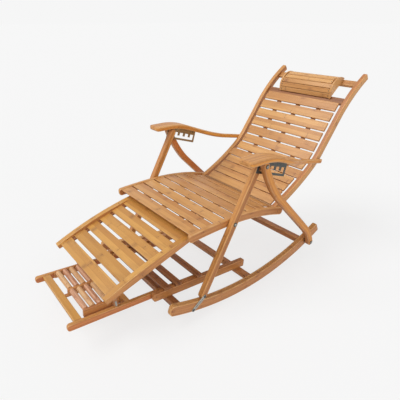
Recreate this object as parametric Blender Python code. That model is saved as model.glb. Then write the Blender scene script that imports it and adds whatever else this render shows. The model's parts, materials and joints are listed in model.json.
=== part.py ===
# Bamboo folding rocking chair with a sliding foot frame.
# Metres, +Z up, the sitter faces -Y and the sitter's left is +X.
# The origin is on the floor, below the middle of the chair.

import math

import bmesh
import bpy
from mathutils import Vector

for left_over in list(bpy.data.objects):
    bpy.data.objects.remove(left_over, do_unlink=True)

# Clearances
GAP = 0.0003                 # between faces that seat on each other
LAYER_GAP = 0.0010           # between boards that swing past each other
PIN_CLEARANCE = 0.0004       # radial, round every pin

# Layers across the chair, from the back frame outwards
BACK_HALF_WIDTH = 0.2325     # to the outer face of the back rails
BACK_RAIL_THICK = 0.0200
SEAT_RAIL_THICK = 0.0165
LEG_THICK = 0.0230           # front legs and rockers
PLATE_THICK = 0.0025         # notched steel plate under each armrest
WASHER_THICK = 0.0040        # between plate and strut
STRUT_THICK = 0.0220

# Rockers
ROCKER_RADIUS = 1.05
ROCKER_DEPTH = 0.040
ROCKER_LOW_Y = -0.035        # where the rocker touches the floor
ROCKER_STEP_DEG = 2.1
ROCKER_STEPS_FRONT = 9       # facets in front of the one that lies on the floor
ROCKER_STEPS_REAR = 12
ROCKER_TIP_ROUND = 0.012

# Front legs and rear struts
APEX = (0.008, 0.520)        # bolt that joins leg and strut, (y, z)
LEG_ANGLE_DEG = 60.5
LEG_DEPTH = 0.026
FOOT_CLEARANCE = 0.0008
STRUT_DEPTH = 0.028
STRUT_FOOT_DEG = 21.2        # along the rocker, from where it touches the floor
STRUT_RUN = (                # length, start angle, end angle
    (0.118, -68.0, -55.0),
    (0.060, -55.0, -45.0),
    (0.265, -44.5, -44.5),
    (0.097, -46.0, -72.0),
)
PIN_RADIUS = 0.0040
HEAD_RADIUS = 0.0085
HEAD_THICK = 0.0045
WASHER_RADIUS = 0.0110
STRAP_THICK = 0.0025
STRAP_WIDTH = 0.0140
STRAP_LENGTH = 0.062         # between its two pins
STRAP_ANGLE_DEG = 34.0

# Seat
SEAT_TIP = (-0.287, 0.3155)  # front end of the rail's centre line
SEAT_RUN = (
    (0.170, 4.0, 0.0),
    (0.280, 0.0, -17.0),
)
SEAT_RAIL_DEPTH = 0.031
SEAT_TIP_ROUND = 0.010
SEAT_SLAT_THICK = 0.0055
SLAT_RECESS = 0.0030         # slats lie this far below the rail edge
SEAT_TAIL = 0.0140           # rail, past the back pivot
SEAT_SLAT_FIRST = 0.0098     # along the rail, to the first slat
SEAT_SLAT_COUNT = 8
SEAT_SLAT_PITCH = 0.0545
SEAT_SLAT_GAP = 0.0080
HINGE_SLAT_TILT_DEG = 5.5    # the slats on either side of the back pivot dip towards it
BATTEN_WIDTH = 0.020
BATTEN_THICK = 0.010
BATTEN_SPACING = 0.112       # sideways, from the middle batten
BATTEN_BITE = 0.0010         # how far a slat is let into the batten

# Back
BACK_LOWER_RUN = (
    (0.235, 23.0, 37.0),
    (0.090, 37.0, 53.0),
    (0.160, 53.5, 53.5),
)
BACK_TOP_BEND = (53.5, 31.0)
BACK_RAIL_DEPTH = 0.027
BACK_SLAT_THICK = 0.009
PIVOT_BELOW_EDGE = 0.0090    # back pivot, below the seat and back edges
PIVOT_ROD_RADIUS = 0.0060
BACK_LOW_FIRST = 0.0125      # along the rail, to the lowest slat
BACK_LOW_COUNT = 4
BACK_LOW_PITCH = 0.0405
BACK_LOW_GAP = 0.0055
BACK_WIDE_COUNT = 8
BACK_WIDE_PITCH = 0.0482
BACK_WIDE_GAP = 0.0075
BACK_SLAT_END_GAP = 0.0132   # between slat ends and back rails
BAR_WIDTH = 0.0300
BAR_THICK = 0.0150
BAR_SLAT_GAP = 0.0009        # between the top slat and the head crossbar
BAR_SPACING = 0.1015         # between the middles of the two crossbars
RAIL_PAST_BAR = 0.0540       # rail, above the middle of the top crossbar

# The crossbars follow the slats, and the rails end above the crossbars
BACK_LOW_LENGTH = BACK_LOW_COUNT * BACK_LOW_PITCH
BACK_WIDE_LENGTH = BACK_WIDE_COUNT * BACK_WIDE_PITCH - BACK_WIDE_GAP
HEAD_BAR_AT = BACK_LOW_FIRST + BACK_LOW_LENGTH + BACK_WIDE_LENGTH + BAR_SLAT_GAP + BAR_WIDTH / 2
TOP_BAR_AT = HEAD_BAR_AT + BAR_SPACING
BACK_TOP_LENGTH = TOP_BAR_AT + RAIL_PAST_BAR - sum(length for length, _, _ in BACK_LOWER_RUN)
BACK_RUN = BACK_LOWER_RUN + ((BACK_TOP_LENGTH, *BACK_TOP_BEND),)

# Headrest
HEADREST_HALF = 0.1430
HEADREST_BELOW_BAR = 0.0005  # starts this far below the middle of the head crossbar
HEADREST_CHORD = 0.1210
HEADREST_RISE = 0.0400
CHEEK_THICK = 0.0080
SHELL_THICK = 0.0060
SHELL_STEPS = 9

# Armrests
ARM_OVERHANG = 0.087         # in front of the apex bolt
ARM_ABOVE_APEX = 0.0262
ARM_RUN = (                  # from the front end; a straight piece then runs to the pin
    (0.066, 0.0, 0.0),
    (0.100, 0.0, -20.0),
    (0.120, -21.0, -21.0),
    (0.100, -20.0, -13.0),
)
ARM_THICK = 0.018
ARM_FRONT_INNER = 0.2440
ARM_FRONT_WIDTH = 0.0710
ARM_REAR_WIDTH = 0.0160      # narrow enough to pass inside the front legs
ARM_TAPER_FROM = 0.190       # along the armrest
ARM_TAIL = 0.105             # length of the narrow rear end
ARM_PIN_AT = 0.2880          # along the back rail
ARM_PIN_FROM_END = 0.0180
ARM_CORNER_ROUND = 0.014

# Notched plates
PLATE_LENGTH = 0.160
PLATE_FRONT_OF_PIN = 0.0130
PLATE_DEPTH = 0.0440
PLATE_SLOPE_DEG = -18.3
PLATE_BAR = 0.0090
PLATE_TOP_BAR = 0.0105
TOOTH_COUNT = 4
TOOTH_WIDTH = 0.0110
TOOTH_LENGTH = 0.0140

# Foot slide and its guides
SLIDE_ANGLE_DEG = -5.2
SLIDE_SEAT_Y = -0.335        # where the frame crosses the front crossbar
FRONT_BAR_RISE = 0.0012      # front crossbar, above the underside of the rockers
SLIDE_HALF_WIDTH = 0.1610
SLIDE_RAIL_THICK = 0.0150
SLIDE_RAIL_DEPTH = 0.0240
SLIDE_FRONT_Y = -0.698
SLIDE_REAR_Y = -0.165
SLIDE_TIP_ROUND = 0.0085
GUIDE_THICK = 0.0220
GUIDE_DEPTH = 0.0320
GUIDE_FRONT_Y = -0.400
GUIDE_REAR_Y = 0.045
GUIDE_SIDE_GAP = 0.0015
CROSSBAR_WIDTH = 0.0300
CROSSBAR_DEPTH = 0.0190
MIDDLE_BAR_Y = 0.0120
REAR_BAR_DEG = 20.0          # along the rocker, from where it touches the floor
REAR_BAR_RISE = 0.0065       # above the middle of the rocker's depth
REAR_BAR_DEPTH = 0.0220
SHELF_SLAT_Y = (-0.340, -0.290, -0.192)
SHELF_SLAT_WIDTH = 0.0280
SHELF_SLAT_THICK = 0.0100

# Foot roller unit
FRONT_SLAT_Y = -0.6585
FRONT_SLAT_WIDTH = 0.0260
REAR_SLAT_Y = -0.4915
REAR_SLAT_WIDTH = 0.0330
FOOT_SLAT_THICK = 0.0120
CHEEK_BOARD_THICK = 0.0100
CHEEK_BOARD_HALF = 0.1360    # to the outer face of the roller cheeks
CHEEK_BOARD_RISE = 0.0165    # above the slide rails
DIVIDER_THICK = 0.0120
ROLLER_FRONT_GAP = 0.0115    # between the front slat and the roller boards
DIVIDER_TONGUE = 0.0080      # depth of the divider's tongue to the front slat
ROLLER_ROWS = 5
ROLLER_RADIUS = 0.0098
ROLLER_DROP = 0.0060         # axis below the top of the cheeks
ROLLER_END_GAP = 0.0012
JOURNAL_RADIUS = 0.0030
JOURNAL_DEPTH = 0.0045
ROLLER_SIDES = 12

# Leg rest
LEG_REST_FRONT = (-0.587, 0.1960)   # front end of the top face
LEG_REST_ANGLE_DEG = 17.6
LEG_REST_LENGTH = 0.351
LEG_REST_HALF = 0.2135
LEG_REST_RAIL = 0.0235
LEG_REST_THICK = 0.0180
LEG_REST_CROWN = 0.0110      # rise of the side rails above a straight line
LEG_REST_INSET = 0.0128      # slats start this far behind the rail ends
LEG_REST_REAR_INSET = 0.0010
LEG_REST_SLATS = 6
LEG_REST_SLAT_THICK = 0.0065
LEG_REST_SLAT_GAP = 0.0145
LEG_REST_SLAT_STEP = 0.0010  # slats lie this far below the rail ends
LEDGE_WIDTH = 0.0140         # under the slat ends, along each rail
LEDGE_THICK = 0.0080
LEDGE_PROP_GAP = 0.0020      # a ledge ends at least this far outside the prop
PROP_Y = -0.530
PROP_WIDTH = 0.0150
PROP_LEAN = 0.0110           # top of the prop, in front of its foot
PROP_EYE_RADIUS = 0.0075

# Finishes: base colour, roughness, metallic
HONEY = ((0.62, 0.35, 0.12), 0.42, 0.0)
GOLD = ((0.66, 0.42, 0.14), 0.40, 0.0)
CARAMEL = ((0.46, 0.20, 0.07), 0.45, 0.0)
RUSSET = ((0.30, 0.12, 0.05), 0.50, 0.0)
ROSE = ((0.60, 0.33, 0.22), 0.48, 0.0)
STEEL = ((0.42, 0.41, 0.38), 0.38, 1.0)
DARK_STEEL = ((0.10, 0.10, 0.10), 0.45, 1.0)


# Layer faces worked out from the inside outwards
BACK_OUT = BACK_HALF_WIDTH
BACK_IN = BACK_OUT - BACK_RAIL_THICK
SEAT_IN = BACK_OUT + LAYER_GAP
SEAT_OUT = SEAT_IN + SEAT_RAIL_THICK
LEG_IN = SEAT_OUT + LAYER_GAP
LEG_OUT = LEG_IN + LEG_THICK
PLATE_IN = LEG_OUT + GAP
PLATE_OUT = PLATE_IN + PLATE_THICK
STRUT_IN = PLATE_OUT + 2 * GAP + WASHER_THICK
STRUT_OUT = STRUT_IN + STRUT_THICK
SIDES = (("l", 1.0), ("r", -1.0))


def heading(degrees):
    angle = math.radians(degrees)
    return Vector((math.cos(angle), math.sin(angle)))


def normal(degrees):
    angle = math.radians(degrees)
    return Vector((-math.sin(angle), math.cos(angle)))


class Path:
    """A run of arcs and straights in the side view, read by length."""

    STEP = 0.004

    def __init__(self, start, run):
        self.stations = [(0.0, Vector(start), run[0][1])]
        for length, first, last in run:
            steps = max(2, math.ceil(length / self.STEP))
            for step in range(steps):
                share = (step + 0.5) / steps
                at, point, _ = self.stations[-1]
                move = heading(first + (last - first) * share) * (length / steps)
                turned = first + (last - first) * (step + 1) / steps
                self.stations.append((at + length / steps, point + move, turned))
        self.length = self.stations[-1][0]

    def at(self, distance):
        if distance <= 0.0:
            _, point, angle = self.stations[0]
            return point + heading(angle) * distance, angle
        for before, after in zip(self.stations, self.stations[1:]):
            if distance <= after[0]:
                share = (distance - before[0]) / (after[0] - before[0])
                return before[1].lerp(after[1], share), before[2] + (after[2] - before[2]) * share
        _, point, angle = self.stations[-1]
        return point + heading(angle) * (distance - self.length), angle

    def offset(self, distance, side):
        point, angle = self.at(distance)
        return point + normal(angle) * side


def even(first, last, steps):
    return [first + (last - first) * step / steps for step in range(steps + 1)]


def round_end(centre, radius, first_deg, last_deg, steps=8):
    return [centre + heading(angle) * radius for angle in even(first_deg, last_deg, steps)]


def rounded_corner(corner, before, after, radius, steps=4):
    to_before = (before - corner).normalized()
    to_after = (after - corner).normalized()
    half = to_before.angle(to_after) / 2
    reach = radius / math.tan(half)
    start = corner + to_before * reach
    end = corner + to_after * reach
    points = []
    for share in even(0.0, 1.0, steps):
        points.append(start * (1 - share) ** 2 + corner * 2 * share * (1 - share) + end * share ** 2)
    return points


# Bodies: one empty on each joint axis, parented in the order of the linkage
pivots = {}


def add_body(name, place, parent=None):
    empty = bpy.data.objects.new("pivot_" + name, None)
    bpy.context.scene.collection.objects.link(empty)
    empty.empty_display_size = 0.02
    world = Vector(place)
    empty.location = world
    if parent:
        empty.parent = pivots[parent][0]
        empty.location = world - pivots[parent][1]
    pivots[name] = (empty, world)


def finish(name, look):
    colour, roughness, metallic = look
    material = bpy.data.materials.new(name + "_finish")
    material.use_nodes = True
    shader = material.node_tree.nodes["Principled BSDF"]
    shader.inputs["Base Color"].default_value = (*colour, 1.0)
    shader.inputs["Roughness"].default_value = roughness
    shader.inputs["Metallic"].default_value = metallic
    return material


def put(name, mesh_data, body, look, origin=None):
    bmesh.ops.recalc_face_normals(mesh_data, faces=mesh_data.faces)
    empty, world = pivots[body]
    own = Vector(origin) if origin else world
    bmesh.ops.translate(mesh_data, verts=mesh_data.verts, vec=-own)
    mesh = bpy.data.meshes.new(name)
    mesh_data.to_mesh(mesh)
    mesh_data.free()
    solid = bpy.data.objects.new(name, mesh)
    bpy.context.scene.collection.objects.link(solid)
    solid.parent = empty
    solid.location = own - world
    if look:
        mesh.materials.append(finish(name, look))
    return solid


def prism(outline, x_from, x_to, mesh_data=None):
    mesh_data = mesh_data or bmesh.new()
    near = [mesh_data.verts.new((x_from, point[0], point[1])) for point in outline]
    far = [mesh_data.verts.new((x_to, point[0], point[1])) for point in outline]
    mesh_data.faces.new(near)
    mesh_data.faces.new(list(reversed(far)))
    count = len(outline)
    for index in range(count):
        following = (index + 1) % count
        mesh_data.faces.new((near[following], near[index], far[index], far[following]))
    return mesh_data


def turned(profile, centre, sides, mesh_data=None):
    # profile is a list of (x, radius) along an axis parallel to X
    mesh_data = mesh_data or bmesh.new()
    rings = []
    for x, radius in profile:
        ring = []
        for side in range(sides):
            spoke = heading(360.0 * side / sides) * radius
            ring.append(mesh_data.verts.new((x, centre[0] + spoke.x, centre[1] + spoke.y)))
        rings.append(ring)
    mesh_data.faces.new(rings[0])
    mesh_data.faces.new(list(reversed(rings[-1])))
    for first, second in zip(rings, rings[1:]):
        for side in range(sides):
            following = (side + 1) % sides
            mesh_data.faces.new((first[following], first[side], second[side], second[following]))
    return mesh_data


def hide_tool(tool):
    tool.hide_render = True
    tool.display_type = "WIRE"
    return tool


def combine(solid, tool, operation):
    step = solid.modifiers.new(operation.lower(), "BOOLEAN")
    step.operation = operation
    step.solver = "EXACT"
    step.object = hide_tool(tool)


def bore(solid, body, centre, radius, x_from, x_to, sides=16):
    cutter = turned([(x_from, radius), (x_to, radius)], centre, sides)
    combine(solid, put("bore_" + solid.name, cutter, body, None), "DIFFERENCE")


def board_outline(path, depth, front_round, rear_round, first=0.0, last=None, step=0.02):
    # Runs along the upper edge to the rear, then back along the lower edge
    last = path.length if last is None else last
    half = depth / 2
    count = max(2, math.ceil((last - first) / step))
    stations = even(first, last, count)
    upper = [path.offset(s, half) for s in stations]
    lower = [path.offset(s, -half) for s in stations]
    front_centre, front_angle = path.at(first)
    rear_centre, rear_angle = path.at(last)
    if front_round == "half":
        start = round_end(front_centre, half, front_angle + 270, front_angle + 90)
        upper = upper[1:]
        lower = lower[1:]
    else:
        start = rounded_corner(lower[0], lower[1], upper[0], front_round)
        start += rounded_corner(upper[0], lower[0], upper[1], front_round)
        upper = upper[1:]
        lower = lower[1:]
    if rear_round == "half":
        finish_points = round_end(rear_centre, half, rear_angle + 90, rear_angle - 90)
    else:
        finish_points = rounded_corner(upper[-1], upper[-2], lower[-1], rear_round)
        finish_points += rounded_corner(lower[-1], upper[-1], lower[-2], rear_round)
    return start + upper[:-1] + finish_points + list(reversed(lower[:-1]))


def slat_block(path, middle, width, top, thick, half_length, tilt_deg=0.0):
    # A flat slat across the chair, its top face `top` above the path's line where that is highest
    centre, angle = path.at(middle)
    along = heading(angle + tilt_deg) * (width / 2)
    out = normal(angle + tilt_deg)
    rise = top - width / 2 * math.sin(math.radians(abs(tilt_deg)))
    outline = [
        centre - along + out * rise,
        centre + along + out * rise,
        centre + along + out * (rise - thick),
        centre - along + out * (rise - thick),
    ]
    return prism(outline, -half_length, half_length)


# Side view lines that several pieces share
half_facet = math.radians(ROCKER_STEP_DEG) / 2
rocker_centre = Vector((ROCKER_LOW_Y, ROCKER_RADIUS * math.cos(half_facet)))
rocker_inner = ROCKER_RADIUS - ROCKER_DEPTH


def on_rocker(degrees, rise):
    # A point at an angle from the lowest point, above the middle of the rocker's depth
    return rocker_centre + heading(degrees - 90.0) * (ROCKER_RADIUS - ROCKER_DEPTH / 2) + Vector((0.0, rise))


def rocker_under(y):
    return rocker_centre.y - math.sqrt(ROCKER_RADIUS ** 2 - (y - rocker_centre.x) ** 2)


slide_slope = math.tan(math.radians(SLIDE_ANGLE_DEG))
slide_seat_z = rocker_under(SLIDE_SEAT_Y) + FRONT_BAR_RISE + CROSSBAR_DEPTH + GAP


def slide_under(y):
    return slide_seat_z + (y - SLIDE_SEAT_Y) * slide_slope


def slide_top(y):
    return slide_under(y) + SLIDE_RAIL_DEPTH / math.cos(math.radians(SLIDE_ANGLE_DEG))


def guide_top(y):
    return slide_under(y) + GUIDE_DEPTH / math.cos(math.radians(SLIDE_ANGLE_DEG))


# The leg's foot is a half round that just clears the top of the rocker
apex = Vector(APEX)
leg_down = -heading(LEG_ANGLE_DEG)
foot_reach = rocker_inner * math.cos(half_facet) - LEG_DEPTH / 2 - FOOT_CLEARANCE
to_apex = apex - rocker_centre
along_leg = leg_down.dot(to_apex)
leg_length = -along_leg + math.sqrt(along_leg ** 2 - to_apex.length_squared + foot_reach ** 2)
foot = apex + leg_down * leg_length

# The strut's bends are kept and the whole run is turned and stretched to end on the rocker
strut_foot = on_rocker(STRUT_FOOT_DEG, 0.0)
drawn = Path(APEX, STRUT_RUN).stations[-1][1] - apex
wanted = strut_foot - apex
stretch = wanted.length / drawn.length
turn = math.degrees(math.atan2(wanted.y, wanted.x) - math.atan2(drawn.y, drawn.x))
strut_path = Path(APEX, [(length * stretch, first + turn, last + turn) for length, first, last in STRUT_RUN])

# The seat bolt is where the middle of the seat rail crosses the middle of the leg
seat_path = Path(SEAT_TIP, SEAT_RUN)
across = Vector((-leg_down.y, leg_down.x))
for before, after in zip(seat_path.stations, seat_path.stations[1:]):
    off_before = (before[1] - apex).dot(across)
    off_after = (after[1] - apex).dot(across)
    if off_before * off_after <= 0.0:
        seat_bolt = before[1].lerp(after[1], off_before / (off_before - off_after))

seat_end, seat_end_angle = seat_path.at(seat_path.length)
back_pivot = seat_end + normal(seat_end_angle) * (SEAT_RAIL_DEPTH / 2 - PIVOT_BELOW_EDGE)
back_start = back_pivot + normal(BACK_RUN[0][1]) * (PIVOT_BELOW_EDGE - BACK_RAIL_DEPTH / 2)
back_path = Path(back_start, BACK_RUN)

# The armrest starts over the apex and ends on its pin in the back rail
arm_pin = back_path.at(ARM_PIN_AT)[0]
arm_front = apex + Vector((-ARM_OVERHANG, ARM_ABOVE_APEX))
arm_bend = Path(arm_front, ARM_RUN)
to_pin = arm_pin - arm_bend.stations[-1][1]
pin_angle = math.degrees(math.atan2(to_pin.y, to_pin.x))
arm_path = Path(arm_front, ARM_RUN + ((to_pin.length + ARM_PIN_FROM_END, pin_angle, pin_angle),))
prop_foot = Vector((PROP_Y, slide_top(PROP_Y) + GAP + PROP_EYE_RADIUS))


def on_axis(point):
    return (0.0, point[0], point[1])


add_body("base", (0.0, 0.0, 0.0))
add_body("front_legs", on_axis(foot), "base")
add_body("rear_struts", on_axis(apex), "front_legs")
add_body("seat", on_axis(seat_bolt), "front_legs")
add_body("back", on_axis(back_pivot), "seat")
add_body("armrests", on_axis(arm_pin), "back")
add_body("foot_frame", (0.0, SLIDE_SEAT_Y, slide_seat_z), "base")
add_body("leg_rest", on_axis(prop_foot), "foot_frame")


def rocker_outline():
    step = math.radians(ROCKER_STEP_DEG)
    angles = [(index - 0.5) * step for index in range(-ROCKER_STEPS_FRONT, ROCKER_STEPS_REAR + 2)]
    lower = []
    upper = []
    for angle in angles:
        spoke = Vector((math.sin(angle), -math.cos(angle)))
        lower.append(rocker_centre + spoke * ROCKER_RADIUS)
        upper.append(rocker_centre + spoke * rocker_inner)
    front = rounded_corner(upper[0], upper[1], lower[0], ROCKER_TIP_ROUND)
    front += rounded_corner(lower[0], upper[0], lower[1], ROCKER_TIP_ROUND)
    rear = rounded_corner(lower[-1], lower[-2], upper[-1], ROCKER_TIP_ROUND / 2)
    rear += rounded_corner(upper[-1], lower[-1], upper[-2], ROCKER_TIP_ROUND / 2)
    return front + lower[1:-1] + rear + list(reversed(upper[1:-1]))


def strap_ends():
    top = foot
    bottom = foot - heading(STRAP_ANGLE_DEG) * STRAP_LENGTH
    return top, bottom


def make_rockers():
    outline = rocker_outline()
    for tag, sign in SIDES:
        solid = put("rocker_" + tag, prism(outline, LEG_IN * sign, LEG_OUT * sign), "base", CARAMEL)
        pin_from = (LEG_IN - LAYER_GAP) * sign
        pin_to = (LEG_OUT + LAYER_GAP) * sign
        bore(solid, "base", strap_ends()[1], PIN_RADIUS + PIN_CLEARANCE, pin_from, pin_to)


def make_straps():
    # Steel strap on the outside of each foot, with the pin that the leg turns on
    top, bottom = strap_ends()
    half = STRAP_WIDTH / 2
    outline = round_end(top, half, STRAP_ANGLE_DEG - 90, STRAP_ANGLE_DEG + 90)
    outline += round_end(bottom, half, STRAP_ANGLE_DEG + 90, STRAP_ANGLE_DEG + 270)
    for tag, sign in SIDES:
        inner = (LEG_OUT + GAP) * sign
        outer = (LEG_OUT + GAP + STRAP_THICK) * sign
        strap = put("foot_strap_" + tag, prism(outline, inner, outer), "base", STEEL)
        for pin in (top, bottom):
            shank = turned([((LEG_IN + GAP) * sign, PIN_RADIUS), (outer - GAP * sign, PIN_RADIUS)], pin, 12)
            combine(strap, put("pin_" + strap.name, shank, "base", None), "UNION")


def make_crossbars():
    half_span = LEG_IN - GAP
    half = CROSSBAR_WIDTH / 2
    for name, y in (("front_crossbar", SLIDE_SEAT_Y), ("middle_crossbar", MIDDLE_BAR_Y)):
        front_top = slide_under(y - half) - GAP
        rear_top = slide_under(y + half) - GAP
        outline = [
            (y - half, front_top),
            (y + half, rear_top),
            (y + half, rear_top - CROSSBAR_DEPTH),
            (y - half, front_top - CROSSBAR_DEPTH),
        ]
        put(name, prism(outline, -half_span, half_span), "base", RUSSET)
    y, z = on_rocker(REAR_BAR_DEG, REAR_BAR_RISE)
    depth = REAR_BAR_DEPTH / 2
    outline = [(y - half, z - depth), (y + half, z - depth), (y + half, z + depth), (y - half, z + depth)]
    put("rear_crossbar", prism(outline, -half_span, half_span), "base", CARAMEL)


def slide_path(front_y, rear_y, depth):
    start = Vector((front_y, slide_under(front_y))) + normal(SLIDE_ANGLE_DEG) * (depth / 2)
    length = (rear_y - front_y) / math.cos(math.radians(SLIDE_ANGLE_DEG))
    return Path(start, ((length, SLIDE_ANGLE_DEG, SLIDE_ANGLE_DEG),))


def make_guides():
    path = slide_path(GUIDE_FRONT_Y, GUIDE_REAR_Y, GUIDE_DEPTH)
    outline = board_outline(path, GUIDE_DEPTH, SLIDE_TIP_ROUND, SLIDE_TIP_ROUND / 4, step=1.0)
    inner = SLIDE_HALF_WIDTH + GUIDE_SIDE_GAP
    outer = inner + GUIDE_THICK
    for tag, sign in SIDES:
        put("slide_guide_" + tag, prism(outline, inner * sign, outer * sign), "base", CARAMEL)
    half = SHELF_SLAT_WIDTH / 2
    for index, y in enumerate(SHELF_SLAT_Y, 1):
        front = guide_top(y - half) + GAP
        rear = guide_top(y + half) + GAP
        corners = [
            (y - half, front),
            (y + half, rear),
            (y + half, rear + SHELF_SLAT_THICK),
            (y - half, front + SHELF_SLAT_THICK),
        ]
        put("shelf_slat_%d" % index, prism(corners, -outer, outer), "base", RUSSET)


def make_legs():
    path = Path(foot, ((leg_length, LEG_ANGLE_DEG, LEG_ANGLE_DEG),))
    outline = board_outline(path, LEG_DEPTH, "half", "half", step=1.0)
    for tag, sign in SIDES:
        solid = put("front_leg_" + tag, prism(outline, LEG_IN * sign, LEG_OUT * sign), "front_legs", CARAMEL)
        pin_from = (LEG_IN - LAYER_GAP) * sign
        pin_to = (LEG_OUT + LAYER_GAP) * sign
        for centre in (foot, seat_bolt):
            bore(solid, "front_legs", centre, PIN_RADIUS + PIN_CLEARANCE, pin_from, pin_to)
        head_in = LEG_OUT + GAP
        profile = [
            ((SEAT_IN + GAP) * sign, PIN_RADIUS),
            (head_in * sign, PIN_RADIUS),
            (head_in * sign, HEAD_RADIUS),
            ((head_in + HEAD_THICK) * sign, HEAD_RADIUS),
        ]
        put("seat_bolt_" + tag, turned(profile, seat_bolt, 16), "front_legs", STEEL)


def bolt_through_strut(name, sign, centre, washer_from):
    # Washer inside, shank through the strut, domed head outside
    washer_to = STRUT_IN - GAP
    head_from = STRUT_OUT + GAP
    profile = [
        (washer_from * sign, WASHER_RADIUS),
        (washer_to * sign, WASHER_RADIUS),
        (washer_to * sign, PIN_RADIUS),
        (head_from * sign, PIN_RADIUS),
        (head_from * sign, HEAD_RADIUS),
        ((head_from + HEAD_THICK / 2) * sign, HEAD_RADIUS),
        ((head_from + HEAD_THICK) * sign, HEAD_RADIUS / 2),
    ]
    put(name, turned(profile, centre, 16), "rear_struts", STEEL)


def make_struts():
    outline = board_outline(strut_path, STRUT_DEPTH, "half", "half")
    for tag, sign in SIDES:
        strut = prism(outline, STRUT_IN * sign, STRUT_OUT * sign)
        solid = put("rear_strut_" + tag, strut, "rear_struts", HONEY)
        pin_from = (STRUT_IN - LAYER_GAP) * sign
        pin_to = (STRUT_OUT + LAYER_GAP) * sign
        for centre in (apex, strut_foot):
            bore(solid, "rear_struts", centre, PIN_RADIUS + PIN_CLEARANCE, pin_from, pin_to)
        bolt_through_strut("apex_bolt_" + tag, sign, apex, PLATE_OUT + GAP)
        bolt_through_strut("strut_foot_bolt_" + tag, sign, strut_foot, LEG_OUT + GAP)


def slat_panel(name, body, look, base, slats):
    # Battens in one mesh, with every slat joined on by one union
    solid = put(name, base, body, look)
    slat_group = bpy.data.collections.new(name + "_slats")
    bpy.context.scene.collection.children.link(slat_group)
    for index, slat in enumerate(slats):
        block = hide_tool(put("%s_slat_%d" % (name, index), slat, body, None))
        bpy.context.scene.collection.objects.unlink(block)
        slat_group.objects.link(block)
    step = solid.modifiers.new("union", "BOOLEAN")
    step.operation = "UNION"
    step.solver = "EXACT"
    step.operand_type = "COLLECTION"
    step.collection = slat_group
    return solid


def battens(path, first, last, top):
    mesh_data = bmesh.new()
    count = max(2, math.ceil((last - first) / 0.03))
    stations = even(first, last, count)
    outline = [path.offset(s, top) for s in stations]
    outline += [path.offset(s, top - BATTEN_THICK) for s in reversed(stations)]
    for place in (-BATTEN_SPACING, 0.0, BATTEN_SPACING):
        prism(outline, place - BATTEN_WIDTH / 2, place + BATTEN_WIDTH / 2, mesh_data)
    return mesh_data


def make_seat():
    rail_end = seat_path.length + SEAT_TAIL
    outline = board_outline(seat_path, SEAT_RAIL_DEPTH, SEAT_TIP_ROUND, "half", last=rail_end)
    for tag, sign in SIDES:
        solid = put("seat_rail_" + tag, prism(outline, SEAT_IN * sign, SEAT_OUT * sign), "seat", HONEY)
        pin_from = (SEAT_IN - LAYER_GAP) * sign
        pin_to = (SEAT_OUT + LAYER_GAP) * sign
        bore(solid, "seat", seat_bolt, PIN_RADIUS + PIN_CLEARANCE, pin_from, pin_to)
        bore(solid, "seat", back_pivot, PIVOT_ROD_RADIUS + GAP, pin_from, pin_to)

    # The last slat ends inside the back rails, which swing past it
    top = SEAT_RAIL_DEPTH / 2 - SLAT_RECESS
    width = SEAT_SLAT_PITCH - SEAT_SLAT_GAP
    slats = []
    at = SEAT_SLAT_FIRST
    for index in range(SEAT_SLAT_COUNT):
        last = index == SEAT_SLAT_COUNT - 1
        length = BACK_IN - LAYER_GAP if last else SEAT_IN - GAP
        tilt = -HINGE_SLAT_TILT_DEG if last else 0.0
        slats.append(slat_block(seat_path, at + width / 2, width, top, SEAT_SLAT_THICK, length, tilt))
        at += SEAT_SLAT_PITCH
    batten_top = top - SEAT_SLAT_THICK + BATTEN_BITE
    edge = width / 4
    base = battens(seat_path, SEAT_SLAT_FIRST + edge, at - SEAT_SLAT_GAP - edge, batten_top)
    slat_panel("seat_slats", "seat", HONEY, base, slats)


def make_back():
    profile = [(-(SEAT_OUT - GAP), PIVOT_ROD_RADIUS), (SEAT_OUT - GAP, PIVOT_ROD_RADIUS)]
    put("back_pivot_rod", turned(profile, back_pivot, 16), "seat", STEEL, on_axis(back_pivot))

    outline = board_outline(back_path, BACK_RAIL_DEPTH, "half", SEAT_TIP_ROUND)
    for tag, sign in SIDES:
        solid = put("back_rail_" + tag, prism(outline, BACK_IN * sign, BACK_OUT * sign), "back", HONEY)
        pin_from = (BACK_IN - LAYER_GAP) * sign
        pin_to = (BACK_OUT + LAYER_GAP) * sign
        bore(solid, "back", back_pivot, PIVOT_ROD_RADIUS + PIN_CLEARANCE, pin_from, pin_to)
        bore(solid, "back", arm_pin, PIN_RADIUS + GAP, pin_from, pin_to)

    half_span = BACK_IN - GAP
    top = BACK_RAIL_DEPTH / 2 - SLAT_RECESS
    for name, middle in (("head_crossbar", HEAD_BAR_AT), ("top_crossbar", TOP_BAR_AT)):
        bar = slat_block(back_path, middle, BAR_WIDTH, top - BACK_SLAT_THICK + GAP, BAR_THICK, half_span)
        put(name, bar, "back", CARAMEL)

    short = half_span - BACK_SLAT_END_GAP
    slats = []
    at = BACK_LOW_FIRST
    for index in range(BACK_LOW_COUNT):
        width = BACK_LOW_PITCH - BACK_LOW_GAP
        tilt = 0.0 if index else HINGE_SLAT_TILT_DEG
        slats.append(slat_block(back_path, at + width / 2, width, top, BACK_SLAT_THICK, short, tilt))
        at += BACK_LOW_PITCH
    for index in range(BACK_WIDE_COUNT):
        width = BACK_WIDE_PITCH - BACK_WIDE_GAP
        length = short if index else half_span
        slats.append(slat_block(back_path, at + width / 2, width, top, BACK_SLAT_THICK, length))
        at += BACK_WIDE_PITCH
    batten_top = top - BACK_SLAT_THICK + BATTEN_BITE
    edge = BACK_LOW_PITCH / 4
    last = HEAD_BAR_AT - BAR_WIDTH / 2 - GAP
    base = battens(back_path, BACK_LOW_FIRST + edge, last, batten_top)
    slat_panel("back_slats", "back", HONEY, base, slats)


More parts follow.
